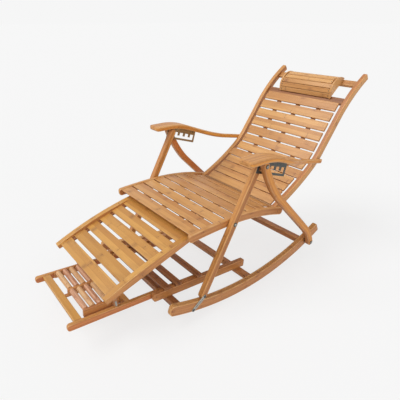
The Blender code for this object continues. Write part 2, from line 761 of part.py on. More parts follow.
def make_headrest():
    # A half barrel of slats on two crescent cheeks, seated on the two upper crossbars
    level = BACK_RAIL_DEPTH / 2 - SLAT_RECESS - BACK_SLAT_THICK + GAP
    chord_from = HEAD_BAR_AT - HEADREST_BELOW_BAR
    first = back_path.offset(chord_from, level)
    chord = back_path.offset(chord_from + HEADREST_CHORD, level) - first
    along = chord.normalized()
    out = Vector((-along.y, along.x))
    half = chord.length / 2
    lift = 0.0
    for middle in (HEAD_BAR_AT, TOP_BAR_AT):
        for edge in (-BAR_WIDTH / 2, BAR_WIDTH / 2):
            centre, angle = back_path.at(middle)
            corner = centre + heading(angle) * edge + normal(angle) * level
            lift = max(lift, (corner - first).dot(out))
    first = first + out * (lift + GAP)
    radius = (half ** 2 + HEADREST_RISE ** 2) / (2 * HEADREST_RISE)
    middle = first + along * half + out * (HEADREST_RISE - radius)
    spread = math.asin(min(1.0, half / radius))

    def arc(size, opening):
        points = []
        for angle in even(-opening, opening, SHELL_STEPS):
            points.append(middle + (along * math.sin(angle) + out * math.cos(angle)) * size)
        return points

    outer = arc(radius, spread)
    inner = arc(radius - SHELL_THICK, spread * 0.94)
    for tag, sign in SIDES:
        cheek = prism(outer, (HEADREST_HALF - CHEEK_THICK) * sign, HEADREST_HALF * sign)
        put("headrest_cheek_" + tag, cheek, "back", HONEY)
    shell_half = HEADREST_HALF - CHEEK_THICK - GAP
    put("headrest_slats", prism(outer + list(reversed(inner)), -shell_half, shell_half), "back", GOLD)


def arm_widths(distance):
    # Inner and outer face of the armrest at a distance from its front end
    front_in, front_out = ARM_FRONT_INNER, ARM_FRONT_INNER + ARM_FRONT_WIDTH
    rear_in = BACK_OUT + LAYER_GAP
    rear_out = rear_in + ARM_REAR_WIDTH
    share = (distance - ARM_TAPER_FROM) / (arm_path.length - ARM_TAIL - ARM_TAPER_FROM)
    share = min(1.0, max(0.0, share))
    share = share * share * (3 - 2 * share)
    return front_in + (rear_in - front_in) * share, front_out + (rear_out - front_out) * share


def make_armrests():
    count = 20
    for tag, sign in SIDES:
        mesh_data = bmesh.new()
        rings = []
        for distance in even(0.0, arm_path.length, count):
            inner, outer = arm_widths(distance)
            from_end = min(distance, arm_path.length - distance)
            tuck = 0.0
            if from_end < ARM_CORNER_ROUND:
                inset = ARM_CORNER_ROUND - from_end
                tuck = ARM_CORNER_ROUND - math.sqrt(ARM_CORNER_ROUND ** 2 - inset ** 2)
            tuck = min(tuck, (outer - inner) * 0.35)
            ring = []
            for x, side in ((inner + tuck, 1), (outer - tuck, 1), (outer - tuck, -1), (inner + tuck, -1)):
                point = arm_path.offset(distance, side * ARM_THICK / 2)
                ring.append(mesh_data.verts.new((x * sign, point.x, point.y)))
            rings.append(ring)
        mesh_data.faces.new(rings[0])
        mesh_data.faces.new(list(reversed(rings[-1])))
        for first, second in zip(rings, rings[1:]):
            for side in range(4):
                following = (side + 1) % 4
                mesh_data.faces.new((first[following], first[side], second[side], second[following]))
        bmesh.ops.triangulate(mesh_data, faces=mesh_data.faces)
        solid = put("armrest_" + tag, mesh_data, "armrests", HONEY)
        pin_end = BACK_OUT + LAYER_GAP + ARM_REAR_WIDTH * 0.7
        bore(solid, "armrests", arm_pin, PIN_RADIUS + PIN_CLEARANCE, BACK_OUT * sign, (pin_end + GAP) * sign)
        profile = [((BACK_IN + GAP) * sign, PIN_RADIUS), (pin_end * sign, PIN_RADIUS)]
        put("armrest_pin_" + tag, turned(profile, arm_pin, 12), "back", STEEL, on_axis(arm_pin))


def arm_underside(point):
    # Moves a point of the plate's top edge up to the curved underside of the armrest
    for distance in even(0.0, arm_path.length, 300):
        below = arm_path.offset(distance, -ARM_THICK / 2 - GAP)
        if below.x >= point.x:
            return below
    return point


def make_plates():
    along = heading(PLATE_SLOPE_DEG)
    down = -normal(PLATE_SLOPE_DEG)
    start = arm_underside(apex - along * PLATE_FRONT_OF_PIN)
    drop = PLATE_DEPTH

    def at(distance, depth):
        return start + along * distance + down * depth

    top_edge = [arm_underside(at(distance, 0.0)) for distance in even(0.0, PLATE_LENGTH, 8)]
    outer = top_edge + [at(PLATE_LENGTH, drop), at(0.0, drop)]
    slot = [at(PLATE_BAR, drop - PLATE_BAR), at(PLATE_LENGTH - PLATE_BAR, drop - PLATE_BAR)]
    open_length = PLATE_LENGTH - 2 * PLATE_BAR
    notch = (open_length - TOOTH_COUNT * TOOTH_WIDTH) / (TOOTH_COUNT + 1)
    mouth = [at(PLATE_LENGTH - PLATE_BAR, PLATE_TOP_BAR)]
    at_rear = PLATE_LENGTH - PLATE_BAR
    for _ in range(TOOTH_COUNT):
        at_rear -= notch
        mouth.append(at(at_rear, PLATE_TOP_BAR))
        mouth.append(at(at_rear, PLATE_TOP_BAR + TOOTH_LENGTH))
        at_rear -= TOOTH_WIDTH
        mouth.append(at(at_rear, PLATE_TOP_BAR + TOOTH_LENGTH))
        mouth.append(at(at_rear, PLATE_TOP_BAR))
    mouth.append(at(PLATE_BAR, PLATE_TOP_BAR))
    for tag, sign in SIDES:
        blank = prism(outer, PLATE_IN * sign, PLATE_OUT * sign)
        plate = put("notched_plate_" + tag, blank, "armrests", DARK_STEEL)
        hole = prism(slot + mouth, (PLATE_IN - LAYER_GAP) * sign, (PLATE_OUT + LAYER_GAP) * sign)
        combine(plate, put("slot_" + plate.name, hole, "armrests", None), "DIFFERENCE")


def flat_slat(name, y, width, look):
    half = width / 2
    span = SLIDE_HALF_WIDTH - SLIDE_RAIL_THICK - GAP
    outline = [
        (y - half, slide_top(y - half)),
        (y + half, slide_top(y + half)),
        (y + half, slide_top(y + half) - FOOT_SLAT_THICK),
        (y - half, slide_top(y - half) - FOOT_SLAT_THICK),
    ]
    put(name, prism(outline, -span, span), "foot_frame", look)


def make_foot_slide():
    path = slide_path(SLIDE_FRONT_Y, SLIDE_REAR_Y, SLIDE_RAIL_DEPTH)
    outline = board_outline(path, SLIDE_RAIL_DEPTH, SLIDE_TIP_ROUND, SLIDE_TIP_ROUND / 4, step=1.0)
    inner = SLIDE_HALF_WIDTH - SLIDE_RAIL_THICK
    for tag, sign in SIDES:
        rail = prism(outline, inner * sign, SLIDE_HALF_WIDTH * sign)
        put("slide_rail_" + tag, rail, "foot_frame", CARAMEL)
    flat_slat("foot_front_slat", FRONT_SLAT_Y, FRONT_SLAT_WIDTH, GOLD)
    flat_slat("foot_rear_slat", REAR_SLAT_Y, REAR_SLAT_WIDTH, HONEY)


def make_rollers():
    slat_edge = FRONT_SLAT_Y + FRONT_SLAT_WIDTH / 2 + GAP
    front = slat_edge + ROLLER_FRONT_GAP
    rear = REAR_SLAT_Y - REAR_SLAT_WIDTH / 2 - GAP
    outline = [
        (front, slide_top(front) - FOOT_SLAT_THICK),
        (rear, slide_top(rear) - FOOT_SLAT_THICK),
        (rear, slide_top(rear) + CHEEK_BOARD_RISE),
        (front, slide_top(front) + CHEEK_BOARD_RISE),
    ]
    tongue = [
        (front, slide_top(front) - FOOT_SLAT_THICK + DIVIDER_TONGUE),
        (slat_edge, slide_top(slat_edge) - FOOT_SLAT_THICK + DIVIDER_TONGUE),
        (slat_edge, slide_top(slat_edge) - FOOT_SLAT_THICK),
    ]
    pitch = (rear - front) / ROLLER_ROWS
    axes = []
    for row in range(ROLLER_ROWS):
        y = front + pitch * (row + 0.5)
        axes.append(Vector((y, slide_top(y) + CHEEK_BOARD_RISE - ROLLER_DROP)))
    cheek_in = CHEEK_BOARD_HALF - CHEEK_BOARD_THICK
    divider = DIVIDER_THICK / 2
    boards = [("roller_divider", outline + tongue, -divider, divider)]
    for tag, sign in SIDES:
        boards.append(("roller_cheek_" + tag, outline, cheek_in * sign, CHEEK_BOARD_HALF * sign))
    for name, shape, x_from, x_to in boards:
        solid = put(name, prism(shape, x_from, x_to), "foot_frame", CARAMEL)
        low, high = min(x_from, x_to) - LAYER_GAP, max(x_from, x_to) + LAYER_GAP
        for axis in axes:
            bore(solid, "foot_frame", axis, JOURNAL_RADIUS + PIN_CLEARANCE, low, high, 8)
    for tag, sign in SIDES:
        for row, axis in enumerate(axes, 1):
            body_from = divider + ROLLER_END_GAP
            body_to = cheek_in - ROLLER_END_GAP
            profile = [
                ((divider - JOURNAL_DEPTH) * sign, JOURNAL_RADIUS),
                (body_from * sign, JOURNAL_RADIUS),
                (body_from * sign, ROLLER_RADIUS),
                (body_to * sign, ROLLER_RADIUS),
                (body_to * sign, JOURNAL_RADIUS),
                ((cheek_in + JOURNAL_DEPTH) * sign, JOURNAL_RADIUS),
            ]
            middle = ((body_from + body_to) / 2 * sign, axis.x, axis.y)
            roller = turned(profile, axis, ROLLER_SIDES)
            put("foot_roller_%s%d" % (tag, row), roller, "foot_frame", ROSE, middle)


def make_leg_rest():
    run = ((LEG_REST_LENGTH, LEG_REST_ANGLE_DEG, LEG_REST_ANGLE_DEG),)
    path = Path(LEG_REST_FRONT, run)
    mesh_data = bmesh.new()
    rail = []
    for share in even(0.0, 1.0, 10):
        rail.append(path.offset(share * path.length, LEG_REST_CROWN * 4 * share * (1 - share)))
    rail += [path.offset(path.length, -LEG_REST_THICK), path.offset(0.0, -LEG_REST_THICK)]
    inner = LEG_REST_HALF - LEG_REST_RAIL
    for _, sign in SIDES:
        prism(rail, inner * sign, LEG_REST_HALF * sign, mesh_data)
    run_length = LEG_REST_LENGTH - LEG_REST_INSET - LEG_REST_REAR_INSET
    pitch = (run_length + LEG_REST_SLAT_GAP) / LEG_REST_SLATS
    width = pitch - LEG_REST_SLAT_GAP
    slats = []
    for index in range(LEG_REST_SLATS):
        middle = LEG_REST_INSET + index * pitch + width / 2
        half_length = inner + BATTEN_BITE
        block = slat_block(path, middle, width, -LEG_REST_SLAT_STEP, LEG_REST_SLAT_THICK, half_length)
        slats.append(block)
    ledge_top = -LEG_REST_SLAT_STEP - LEG_REST_SLAT_THICK + BATTEN_BITE
    ledge_from = LEG_REST_INSET + width / 4
    ledge_to = path.length - LEG_REST_REAR_INSET - width / 4
    ledge = [path.offset(ledge_from, ledge_top), path.offset(ledge_to, ledge_top)]
    ledge_under = ledge_top - LEDGE_THICK
    ledge += [path.offset(ledge_to, ledge_under), path.offset(ledge_from, ledge_under)]
    prop_out = SLIDE_HALF_WIDTH - LAYER_GAP
    ledge_in = max(inner - LEDGE_WIDTH, prop_out + LEDGE_PROP_GAP)
    for _, sign in SIDES:
        slats.append(prism(ledge, ledge_in * sign, (inner + BATTEN_BITE) * sign))
    slat_panel("leg_rest_panel", "leg_rest", GOLD, mesh_data, slats)

    # Two props carry the panel on the slide rails
    share = (PROP_Y - LEG_REST_FRONT[0]) / math.cos(math.radians(LEG_REST_ANGLE_DEG))
    half = PROP_WIDTH / 2
    under = -LEG_REST_SLAT_STEP - LEG_REST_SLAT_THICK - GAP
    left = path.offset(share - PROP_LEAN - half, under)
    right = path.offset(share - PROP_LEAN + half, under)
    outline = round_end(prop_foot, PROP_EYE_RADIUS, 0.0, -180.0) + [left, right]
    inner = SLIDE_HALF_WIDTH - SLIDE_RAIL_THICK
    for tag, sign in SIDES:
        prop = prism(outline, (inner + LAYER_GAP) * sign, prop_out * sign)
        put("leg_rest_prop_" + tag, prop, "leg_rest", RUSSET)


make_rockers()
make_straps()
make_crossbars()
make_guides()
make_legs()
make_struts()
make_seat()
make_back()
make_headrest()
make_armrests()
make_plates()
make_foot_slide()
make_rollers()
make_leg_rest()

bpy.context.view_layer.update()
solids = [item for item in bpy.data.objects if item.type == "MESH" and not item.hide_render]

# The origin goes below the middle of the overall box
reach = [(item.matrix_world @ corner.co).y for item in solids for corner in item.data.vertices]
pivots["base"][0].location.y -= (min(reach) + max(reach)) / 2
bpy.context.view_layer.update()
print("solids:", len(solids), "moved by", pivots["base"][0].location.y)
for name, (empty, _) in pivots.items():
    place = empty.matrix_world.translation
    print("pivot %s y %.6f z %.6f" % (name, place.y, place.z))
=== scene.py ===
import json
import math
import random

import bmesh
import bpy
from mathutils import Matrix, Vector

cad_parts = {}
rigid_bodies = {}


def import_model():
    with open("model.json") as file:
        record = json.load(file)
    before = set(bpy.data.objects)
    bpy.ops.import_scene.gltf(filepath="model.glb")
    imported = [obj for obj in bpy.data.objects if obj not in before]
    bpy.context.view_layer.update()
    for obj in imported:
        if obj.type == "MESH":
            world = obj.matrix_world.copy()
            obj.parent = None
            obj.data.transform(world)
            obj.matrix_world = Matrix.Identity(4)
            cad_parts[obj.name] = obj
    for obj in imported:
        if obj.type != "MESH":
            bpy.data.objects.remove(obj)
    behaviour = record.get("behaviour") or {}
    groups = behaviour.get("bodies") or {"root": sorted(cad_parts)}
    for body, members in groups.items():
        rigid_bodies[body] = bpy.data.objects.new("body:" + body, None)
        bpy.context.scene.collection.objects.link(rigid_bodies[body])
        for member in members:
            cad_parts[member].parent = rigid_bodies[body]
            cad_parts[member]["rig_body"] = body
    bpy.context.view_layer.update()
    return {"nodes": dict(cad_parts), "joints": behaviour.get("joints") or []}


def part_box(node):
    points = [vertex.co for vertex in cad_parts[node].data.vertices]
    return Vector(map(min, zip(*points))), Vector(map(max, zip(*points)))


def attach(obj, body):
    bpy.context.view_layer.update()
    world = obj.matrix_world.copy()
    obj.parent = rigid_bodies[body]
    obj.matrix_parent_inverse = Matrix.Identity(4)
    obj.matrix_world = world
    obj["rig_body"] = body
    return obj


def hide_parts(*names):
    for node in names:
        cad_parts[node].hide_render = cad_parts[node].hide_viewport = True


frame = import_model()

scene = bpy.context.scene
dice = random.Random(11)  # one seeded source for all the small differences
sides = (("l", 1.0), ("r", -1.0))  # sitter's left is +X
acrossX = Vector((1.0, 0.0, 0.0))
fitGap = 0.0003  # same clearances as the solids
swingGap = 0.0010
pathStep = 0.004  # longest step along a bent path
sharpDeg = 38.0  # edges that turn further than this stay crisp
metalSeed = 0.4  # small steel shows no strips and draws no seed

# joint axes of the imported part, as (y, z) in the side view
pivots = {}
for joint in frame["joints"]:
    if joint["type"] == "hinge":
        pivots[joint["name"]] = Vector(joint["pos_m"][1:])
apex = pivots["strut_fold"]
foot = pivots["frame_fold"]
seatBolt = pivots["seat_level"]
backPivot = pivots["back_recline"]
armPin = pivots["armrest_tilt"]
propFoot = pivots["leg_rest_fold"]
drawnApexY = 0.008  # the apex as drawn, before the part was centred
yShift = apex.x - drawnApexY


# Points and ways in the side view, and the same in space
def drawn(y, z):
    return Vector((y + yShift, z))


def heading(degrees):
    angle = math.radians(degrees)
    return Vector((math.cos(angle), math.sin(angle)))


def across(degrees):
    angle = math.radians(degrees)
    return Vector((-math.sin(angle), math.cos(angle)))


def angleOf(way):
    return math.degrees(math.atan2(way.y, way.x))


def spot3(x, point):
    return Vector((x, point.x, point.y))


def even(first, last, steps):
    return [first + (last - first) * step / steps for step in range(steps + 1)]


# What the solids say of a node's place
def faces(node):
    low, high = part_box(node)
    return low.x, high.x


def fromMiddle(node):
    # distances of the two faces from the middle of the chair, the nearer first
    return sorted(abs(x) for x in faces(node))


def boxMiddle(node):
    low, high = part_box(node)
    return Vector(((low.y + high.y) / 2, (low.z + high.z) / 2))


# A path is a function: length along it -> (point in the side view, angle there)
def runPath(start, run):
    stations = [(0.0, Vector(start), run[0][1])]
    for length, first, last in run:
        steps = max(2, math.ceil(length / pathStep))
        for step in range(steps):
            share = (step + 0.5) / steps
            place, point, _ = stations[-1]
            move = heading(first + (last - first) * share) * (length / steps)
            turned = first + (last - first) * (step + 1) / steps
            stations.append((place + length / steps, point + move, turned))

    def at(distance):
        if distance <= 0.0:
            return stations[0][1] + heading(stations[0][2]) * distance, stations[0][2]
        for before, after in zip(stations, stations[1:]):
            if distance <= after[0]:
                share = (distance - before[0]) / (after[0] - before[0])
                return before[1].lerp(after[1], share), before[2] + (after[2] - before[2]) * share
        place, point, angle = stations[-1]
        return point + heading(angle) * (distance - place), angle

    return at, stations[-1][0]


def straightPath(start, length, degrees):
    return runPath(start, ((length, degrees, degrees),))


def arcPath(centre, radius):
    def at(distance):
        turn = distance / radius
        return centre + Vector((math.sin(turn), -math.cos(turn))) * radius, math.degrees(turn)
    return at


def offPath(at, distance, rise):
    point, angle = at(distance)
    return point + across(angle) * rise


# Mesh building: a shape gathers rings of points, each with its place along the fibre.
# sideSteps are the faces of a section ring that lie on its two sides.
sectionSet = {"cornerSteps": 3, "points": 24, "sideSteps": (0, 10, 11, 12, 22, 23), "mostSoft": 0.46,
              "hold": 0.7, "besideEdge": 0.55, "plateRim": 0.6}
# degrees round an end, from the tip inwards
endTurns = {"half": (86.0, 72.0, 55.0, 38.0, 20.0), "corner": (90.0, 68.0, 45.0, 22.0)}
barTurns = (90.0, 60.0, 30.0, 0.0)


def newShape(paintedLightSideSlot=None):
    # the side slot is a second finish for a section's two sides, where it isn't that of its top and
    # underside: a lighter or darker tone that paints light and shade on the sides
    return {"verts": [], "faces": [], "grain": [], "seed": [], "edge": [], "slots": [], "paintedLightSideSlot": paintedLightSideSlot}


def addRings(shape, rings, slot=0, seed=None, closed=False):
    # closed joins the last ring to the first; otherwise both ends are capped
    seed = dice.random() if seed is None else seed
    base = len(shape["verts"])
    count = len(rings[0])
    for ring in rings:
        for place, grain, edge in ring:
            shape["verts"].append(tuple(place))
            shape["grain"].append(tuple(grain))
            shape["seed"].append(seed)
            shape["edge"].append(edge)
    # the two sides of a section take the side slot, their painted light and shade
    paintedLightSides = slot == 0 and shape["paintedLightSideSlot"] is not None and count == sectionSet["points"]
    for row in range(len(rings) if closed else len(rings) - 1):
        first = base + row * count
        second = base + (row + 1) % len(rings) * count
        for step in range(count):
            following = (step + 1) % count
            shape["faces"].append((first + step, first + following, second + following, second + step))
            onSide = paintedLightSides and step in sectionSet["sideSteps"]
            shape["slots"].append(shape["paintedLightSideSlot"] if onSide else slot)
    if closed:
        return
    last = base + (len(rings) - 1) * count
    shape["faces"].append(tuple(range(base + count - 1, base - 1, -1)))
    shape["faces"].append(tuple(range(last, last + count)))
    shape["slots"] += [slot, slot]


def sectionRing(low, high, inner, outer, soft):
    # rounded rectangle as (rise, across, how near an edge), with holding points beside each corner
    soft = min(soft, (high - low) * sectionSet["mostSoft"], (outer - inner) * sectionSet["mostSoft"])
    hold = sectionSet["hold"] * min(soft, (high - low) / 2 - soft, (outer - inner) / 2 - soft)
    ring = []
    for rise, wide, first in ((high - soft, outer - soft, 0.0), (high - soft, inner + soft, 90.0),
                              (low + soft, inner + soft, 180.0), (low + soft, outer - soft, 270.0)):
        start, end = heading(first), heading(first + 90.0)
        ring.append((rise + soft * start.y - hold * start.x, wide + soft * start.x + hold * start.y, 0.0))
        for angle in even(first, first + 90.0, sectionSet["cornerSteps"]):
            spoke = heading(angle)
            near = 1.0 if first < angle < first + 90.0 else sectionSet["besideEdge"]
            ring.append((rise + soft * spoke.y, wide + soft * spoke.x, near))
        ring.append((rise + soft * end.y + hold * end.x, wide + soft * end.x - hold * end.y, 0.0))
    return ring


def ringOn(at, place, low, high, inner, outer, soft, sign=1.0, shift=0.0):
    # section ring square to a path; sign mirrors it, shift moves it across the chair
    point, angle = at(place)
    ring = []
    for rise, wide, edge in sectionRing(low, high, inner, outer, soft):
        spot = point + across(angle) * rise
        ring.append((((wide + shift) * sign, spot.x, spot.y), (place, rise, wide), edge))
    return ring


def endStops(style, place, way, half, soft):
    # (distance, half depth, side inset) from the tip inwards; style is "half" or a corner radius
    stops = []
    for phi in endTurns["half" if style == "half" else "corner"]:
        turn = math.radians(phi)
        inset = soft * (1 - math.cos(turn))
        if style == "half":
            stops.append((place + way * half * math.sin(turn), half * math.cos(turn), inset))
        else:
            stops.append((place - way * style * (1 - math.sin(turn)),
                          half - style * (1 - math.cos(turn)), inset))
    return stops


def tipStops(radius, turns):
    # (distance from the tip, inset all round) over a softened end
    return [(radius * (1 - math.sin(math.radians(turn))), radius * (1 - math.cos(math.radians(turn))))
            for turn in turns]


def addBoard(shape, at, first, last, half, ends, xFrom, xTo, soft, steps):
    # board that follows a path in the side view; xFrom and xTo may be functions of the distance
    start = endStops(ends[0], first, -1, half, soft)
    finish = endStops(ends[1], last, 1, half, soft)
    inFrom = first if ends[0] == "half" else first + ends[0]
    inTo = last if ends[1] == "half" else last - ends[1]
    middle = [(place, half, 0.0) for place in even(inFrom, inTo, steps)]
    rings = []
    for place, depth, inset in start + middle + finish[::-1]:
        near = xFrom(place) if callable(xFrom) else xFrom
        far = xTo(place) if callable(xTo) else xTo
        sign = 1.0 if far > 0 else -1.0
        inner, outer = sorted((abs(near), abs(far)))
        rings.append(ringOn(at, place, -depth, depth, inner + inset, outer - inset, soft, sign))
    addRings(shape, rings)


def addBar(shape, middle, along, side, up, size, soft, slot=0, tips=None):
    # straight bar with softened edges; size is (length, width, thickness)
    length, width, thick = size
    stops = tipStops(soft if tips is None else tips, barTurns)
    places = [(inward - length / 2, inset) for inward, inset in stops]
    places += [(length / 2 - inward, inset) for inward, inset in stops[::-1]]
    rings = []
    for place, inset in places:
        ring = []
        for rise, wide, edge in sectionRing(-thick / 2 + inset, thick / 2 - inset,
                                            -width / 2 + inset, width / 2 - inset, soft):
            spot = middle + along * place + side * wide + up * rise
            ring.append((spot, (place, wide, rise), edge))
        rings.append(ring)
    addRings(shape, rings, slot)


def addAcross(shape, middle, degrees, size, soft, tips=None):
    # bar that lies across the chair, its width tilted in the side view
    along, up = spot3(0.0, heading(degrees)), spot3(0.0, across(degrees))
    addBar(shape, middle, acrossX, along, up, size, soft, 0, tips)


def addLengthwise(shape, middle, degrees, size, soft, slot=0):
    # bar that runs from front to rear
    along, up = spot3(0.0, heading(degrees)), spot3(0.0, across(degrees))
    addBar(shape, middle, along, acrossX, up, size, soft, slot)


def profileOf(start, length, radius, shares):
    # (x, radius) points for addTurned, from shares of a length and of a radius
    return [(start + length * along, radius * wide) for along, wide in shares]


def addTurned(shape, profile, centre, sidesCount, sign, slot=0, seed=None):
    # profile of (x, radius) turned round an axis parallel to X
    rings = []
    for x, radius in profile:
        ring = []
        for step in range(sidesCount):
            spoke = heading(360.0 * step / sidesCount) * radius
            grain = (x, spoke.x, spoke.y)
            ring.append(((x * sign, centre.x + spoke.x, centre.y + spoke.y), grain, 0.0))
        rings.append(ring)
    addRings(shape, rings, slot, seed)


def addPlate(shape, outline, xFrom, xTo, bevel, slot=0, seed=None):
    # flat piece cut to an outline in the side view, with a small bevel round both faces
    middle = sum((Vector(point) for point in outline), Vector((0.0, 0.0))) / len(outline)
    way = 1.0 if xTo > xFrom else -1.0
    count = len(outline)
    rings = []
    for x, inset in ((xFrom, bevel), (xFrom + way * bevel, 0.0), (xTo - way * bevel, 0.0), (xTo, bevel)):
        ring = []
        for step in range(count):
            point = Vector(outline[step])
            before, after = Vector(outline[step - 1]), Vector(outline[(step + 1) % count])
            tangent = (after - before).normalized()
            inward = Vector((-tangent.y, tangent.x))
            if inward.dot(middle - point) < 0:
                inward = -inward
            spot = point + inward * inset
            edge = 1.0 if inset else sectionSet["plateRim"]
            ring.append(((x, spot.x, spot.y), (spot.x, spot.y, x), edge))
        rings.append(ring)
    addRings(shape, rings, slot, seed)


def finishPiece(name, shape, materials, node):
    # the mesh of a shape, on the body of the solid that it stands for
    mesh = bpy.data.meshes.new(name)
    mesh.from_pydata(shape["verts"], [], shape["faces"])
    mesh.attributes.new("grain", "FLOAT_VECTOR", "POINT").data.foreach_set(
        "vector", [value for grain in shape["grain"] for value in grain])
    mesh.attributes.new("seed", "FLOAT", "POINT").data.foreach_set("value", shape["seed"])
    mesh.attributes.new("edge", "FLOAT", "POINT").data.foreach_set("value", shape["edge"])
    for material in materials:
        mesh.materials.append(material)
    mesh.polygons.foreach_set("material_index", shape["slots"])
    work = bmesh.new()
    work.from_mesh(mesh)
    bmesh.ops.recalc_face_normals(work, faces=work.faces)
    work.to_mesh(mesh)
    work.free()
    mesh.polygons.foreach_set("use_smooth", [True] * len(mesh.polygons))
    mesh.set_sharp_from_angle(angle=math.radians(sharpDeg))
    piece = bpy.data.objects.new(name, mesh)
    scene.collection.objects.link(piece)
    body = frame["nodes"][node]["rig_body"]
    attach(piece, body)
    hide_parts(node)


# Node helpers for the shader groups
def putNode(tree, kind, **settings):
    node = tree.nodes.new(kind)
    for key, value in settings.items():
        setattr(node, key, value)
    return node


def feed(tree, socket, value):
    if isinstance(value, bpy.types.NodeSocket):
        tree.links.new(value, socket)
    elif value is not None:
        socket.default_value = value


def maths(tree, operation, first, second=None, clamp=False):
    node = putNode(tree, "ShaderNodeMath", operation=operation, use_clamp=clamp)
    feed(tree, node.inputs[0], first)
    feed(tree, node.inputs[1], second)
    return node.outputs[0]


def times(tree, first, second, clamp=False):
    return maths(tree, "MULTIPLY", first, second, clamp)


def plus(tree, first, second):
    return maths(tree, "ADD", first, second)


def fromWhole(tree, value):
    # distance to the nearest whole number
    return maths(tree, "PINGPONG", value, 0.5)


def mixed(tree, factor, first, second):
    node = putNode(tree, "ShaderNodeMix", data_type="RGBA")
    feed(tree, node.inputs[0], factor)
    feed(tree, node.inputs[6], first)
    feed(tree, node.inputs[7], second)
    return node.outputs[2]


def eased(tree, value, low, high, toLow=0.0, toHigh=1.0):
    node = putNode(tree, "ShaderNodeMapRange", interpolation_type="SMOOTHSTEP")
    for socket, setting in zip(node.inputs, (value, low, high, toLow, toHigh)):
        feed(tree, socket, setting)
    return node.outputs[0]


def fading(tree, value, low, high):
    return eased(tree, value, low, high, 1.0, 0.0)


def stretched(tree, vector, scale, shift=None):
    node = putNode(tree, "ShaderNodeVectorMath", operation="MULTIPLY")
    feed(tree, node.inputs[0], vector)
    node.inputs[1].default_value = scale
    if shift is None:
        return node.outputs[0]
    moved = putNode(tree, "ShaderNodeVectorMath", operation="ADD")
    tree.links.new(node.outputs[0], moved.inputs[0])
    tree.links.new(shift, moved.inputs[1])
    return moved.outputs[0]


def cloudy(tree, vector, scale, shift=None, detail=2.0, rough=0.5):
    node = putNode(tree, "ShaderNodeTexNoise")
    feed(tree, node.inputs["Vector"], stretched(tree, vector, scale, shift))
    node.inputs["Scale"].default_value = 1.0
    node.inputs["Detail"].default_value = detail
    node.inputs["Roughness"].default_value = rough
    return node.outputs[0]


def startGroup(name, inputs, outputs):
    tree = bpy.data.node_groups.new(name, "ShaderNodeTree")
    kinds = {"vector": "NodeSocketVector", "value": "NodeSocketFloat", "colour": "NodeSocketColor"}
    for way, sockets in (("INPUT", inputs), ("OUTPUT", outputs)):
        for label, kind in sockets.items():
            tree.interface.new_socket(label, in_out=way, socket_type=kinds[kind])
    return tree, putNode(tree, "NodeGroupInput").outputs, putNode(tree, "NodeGroupOutput").inputs


# Scales are per metre, along the fibre and both ways across it. Ranges are where a mask begins and ends;
# those of the seam, core and stain are metres from the seam or knuckle.
grainSet = {"fibre": (7.0, 330.0, 330.0), "fine": (22.0, 1300.0, 1300.0), "broad": (5.0, 16.0, 16.0),
            "ragged": (60.0, 210.0, 210.0), "seedShift": 7.31, "seedCell": 97.0, "stripShift": 40.0,
            "stripTone": 0.62, "broadTone": 0.55, "toneRange": (0.18, 1.0), "streakRange": (0.50, 0.74),
            "lineRange": (0.52, 0.72), "lineShare": 0.7, "seamRange": (0.00015, 0.0006), "seamTone": 0.22,
            "knuckleShift": 3.0, "plainStrips": 0.30, "coreRange": (0.0006, 0.0034),
            "raggedRange": (0.40, 0.58), "stainRange": (0.002, 0.020), "patchRange": (0.40, 0.62),
            "stainTone": 0.50, "rough": 0.40, "fibreRough": 0.16, "seamRough": 0.15, "fineHeight": 0.35,
            "coreHeight": 0.5, "seamHeight": 0.8}


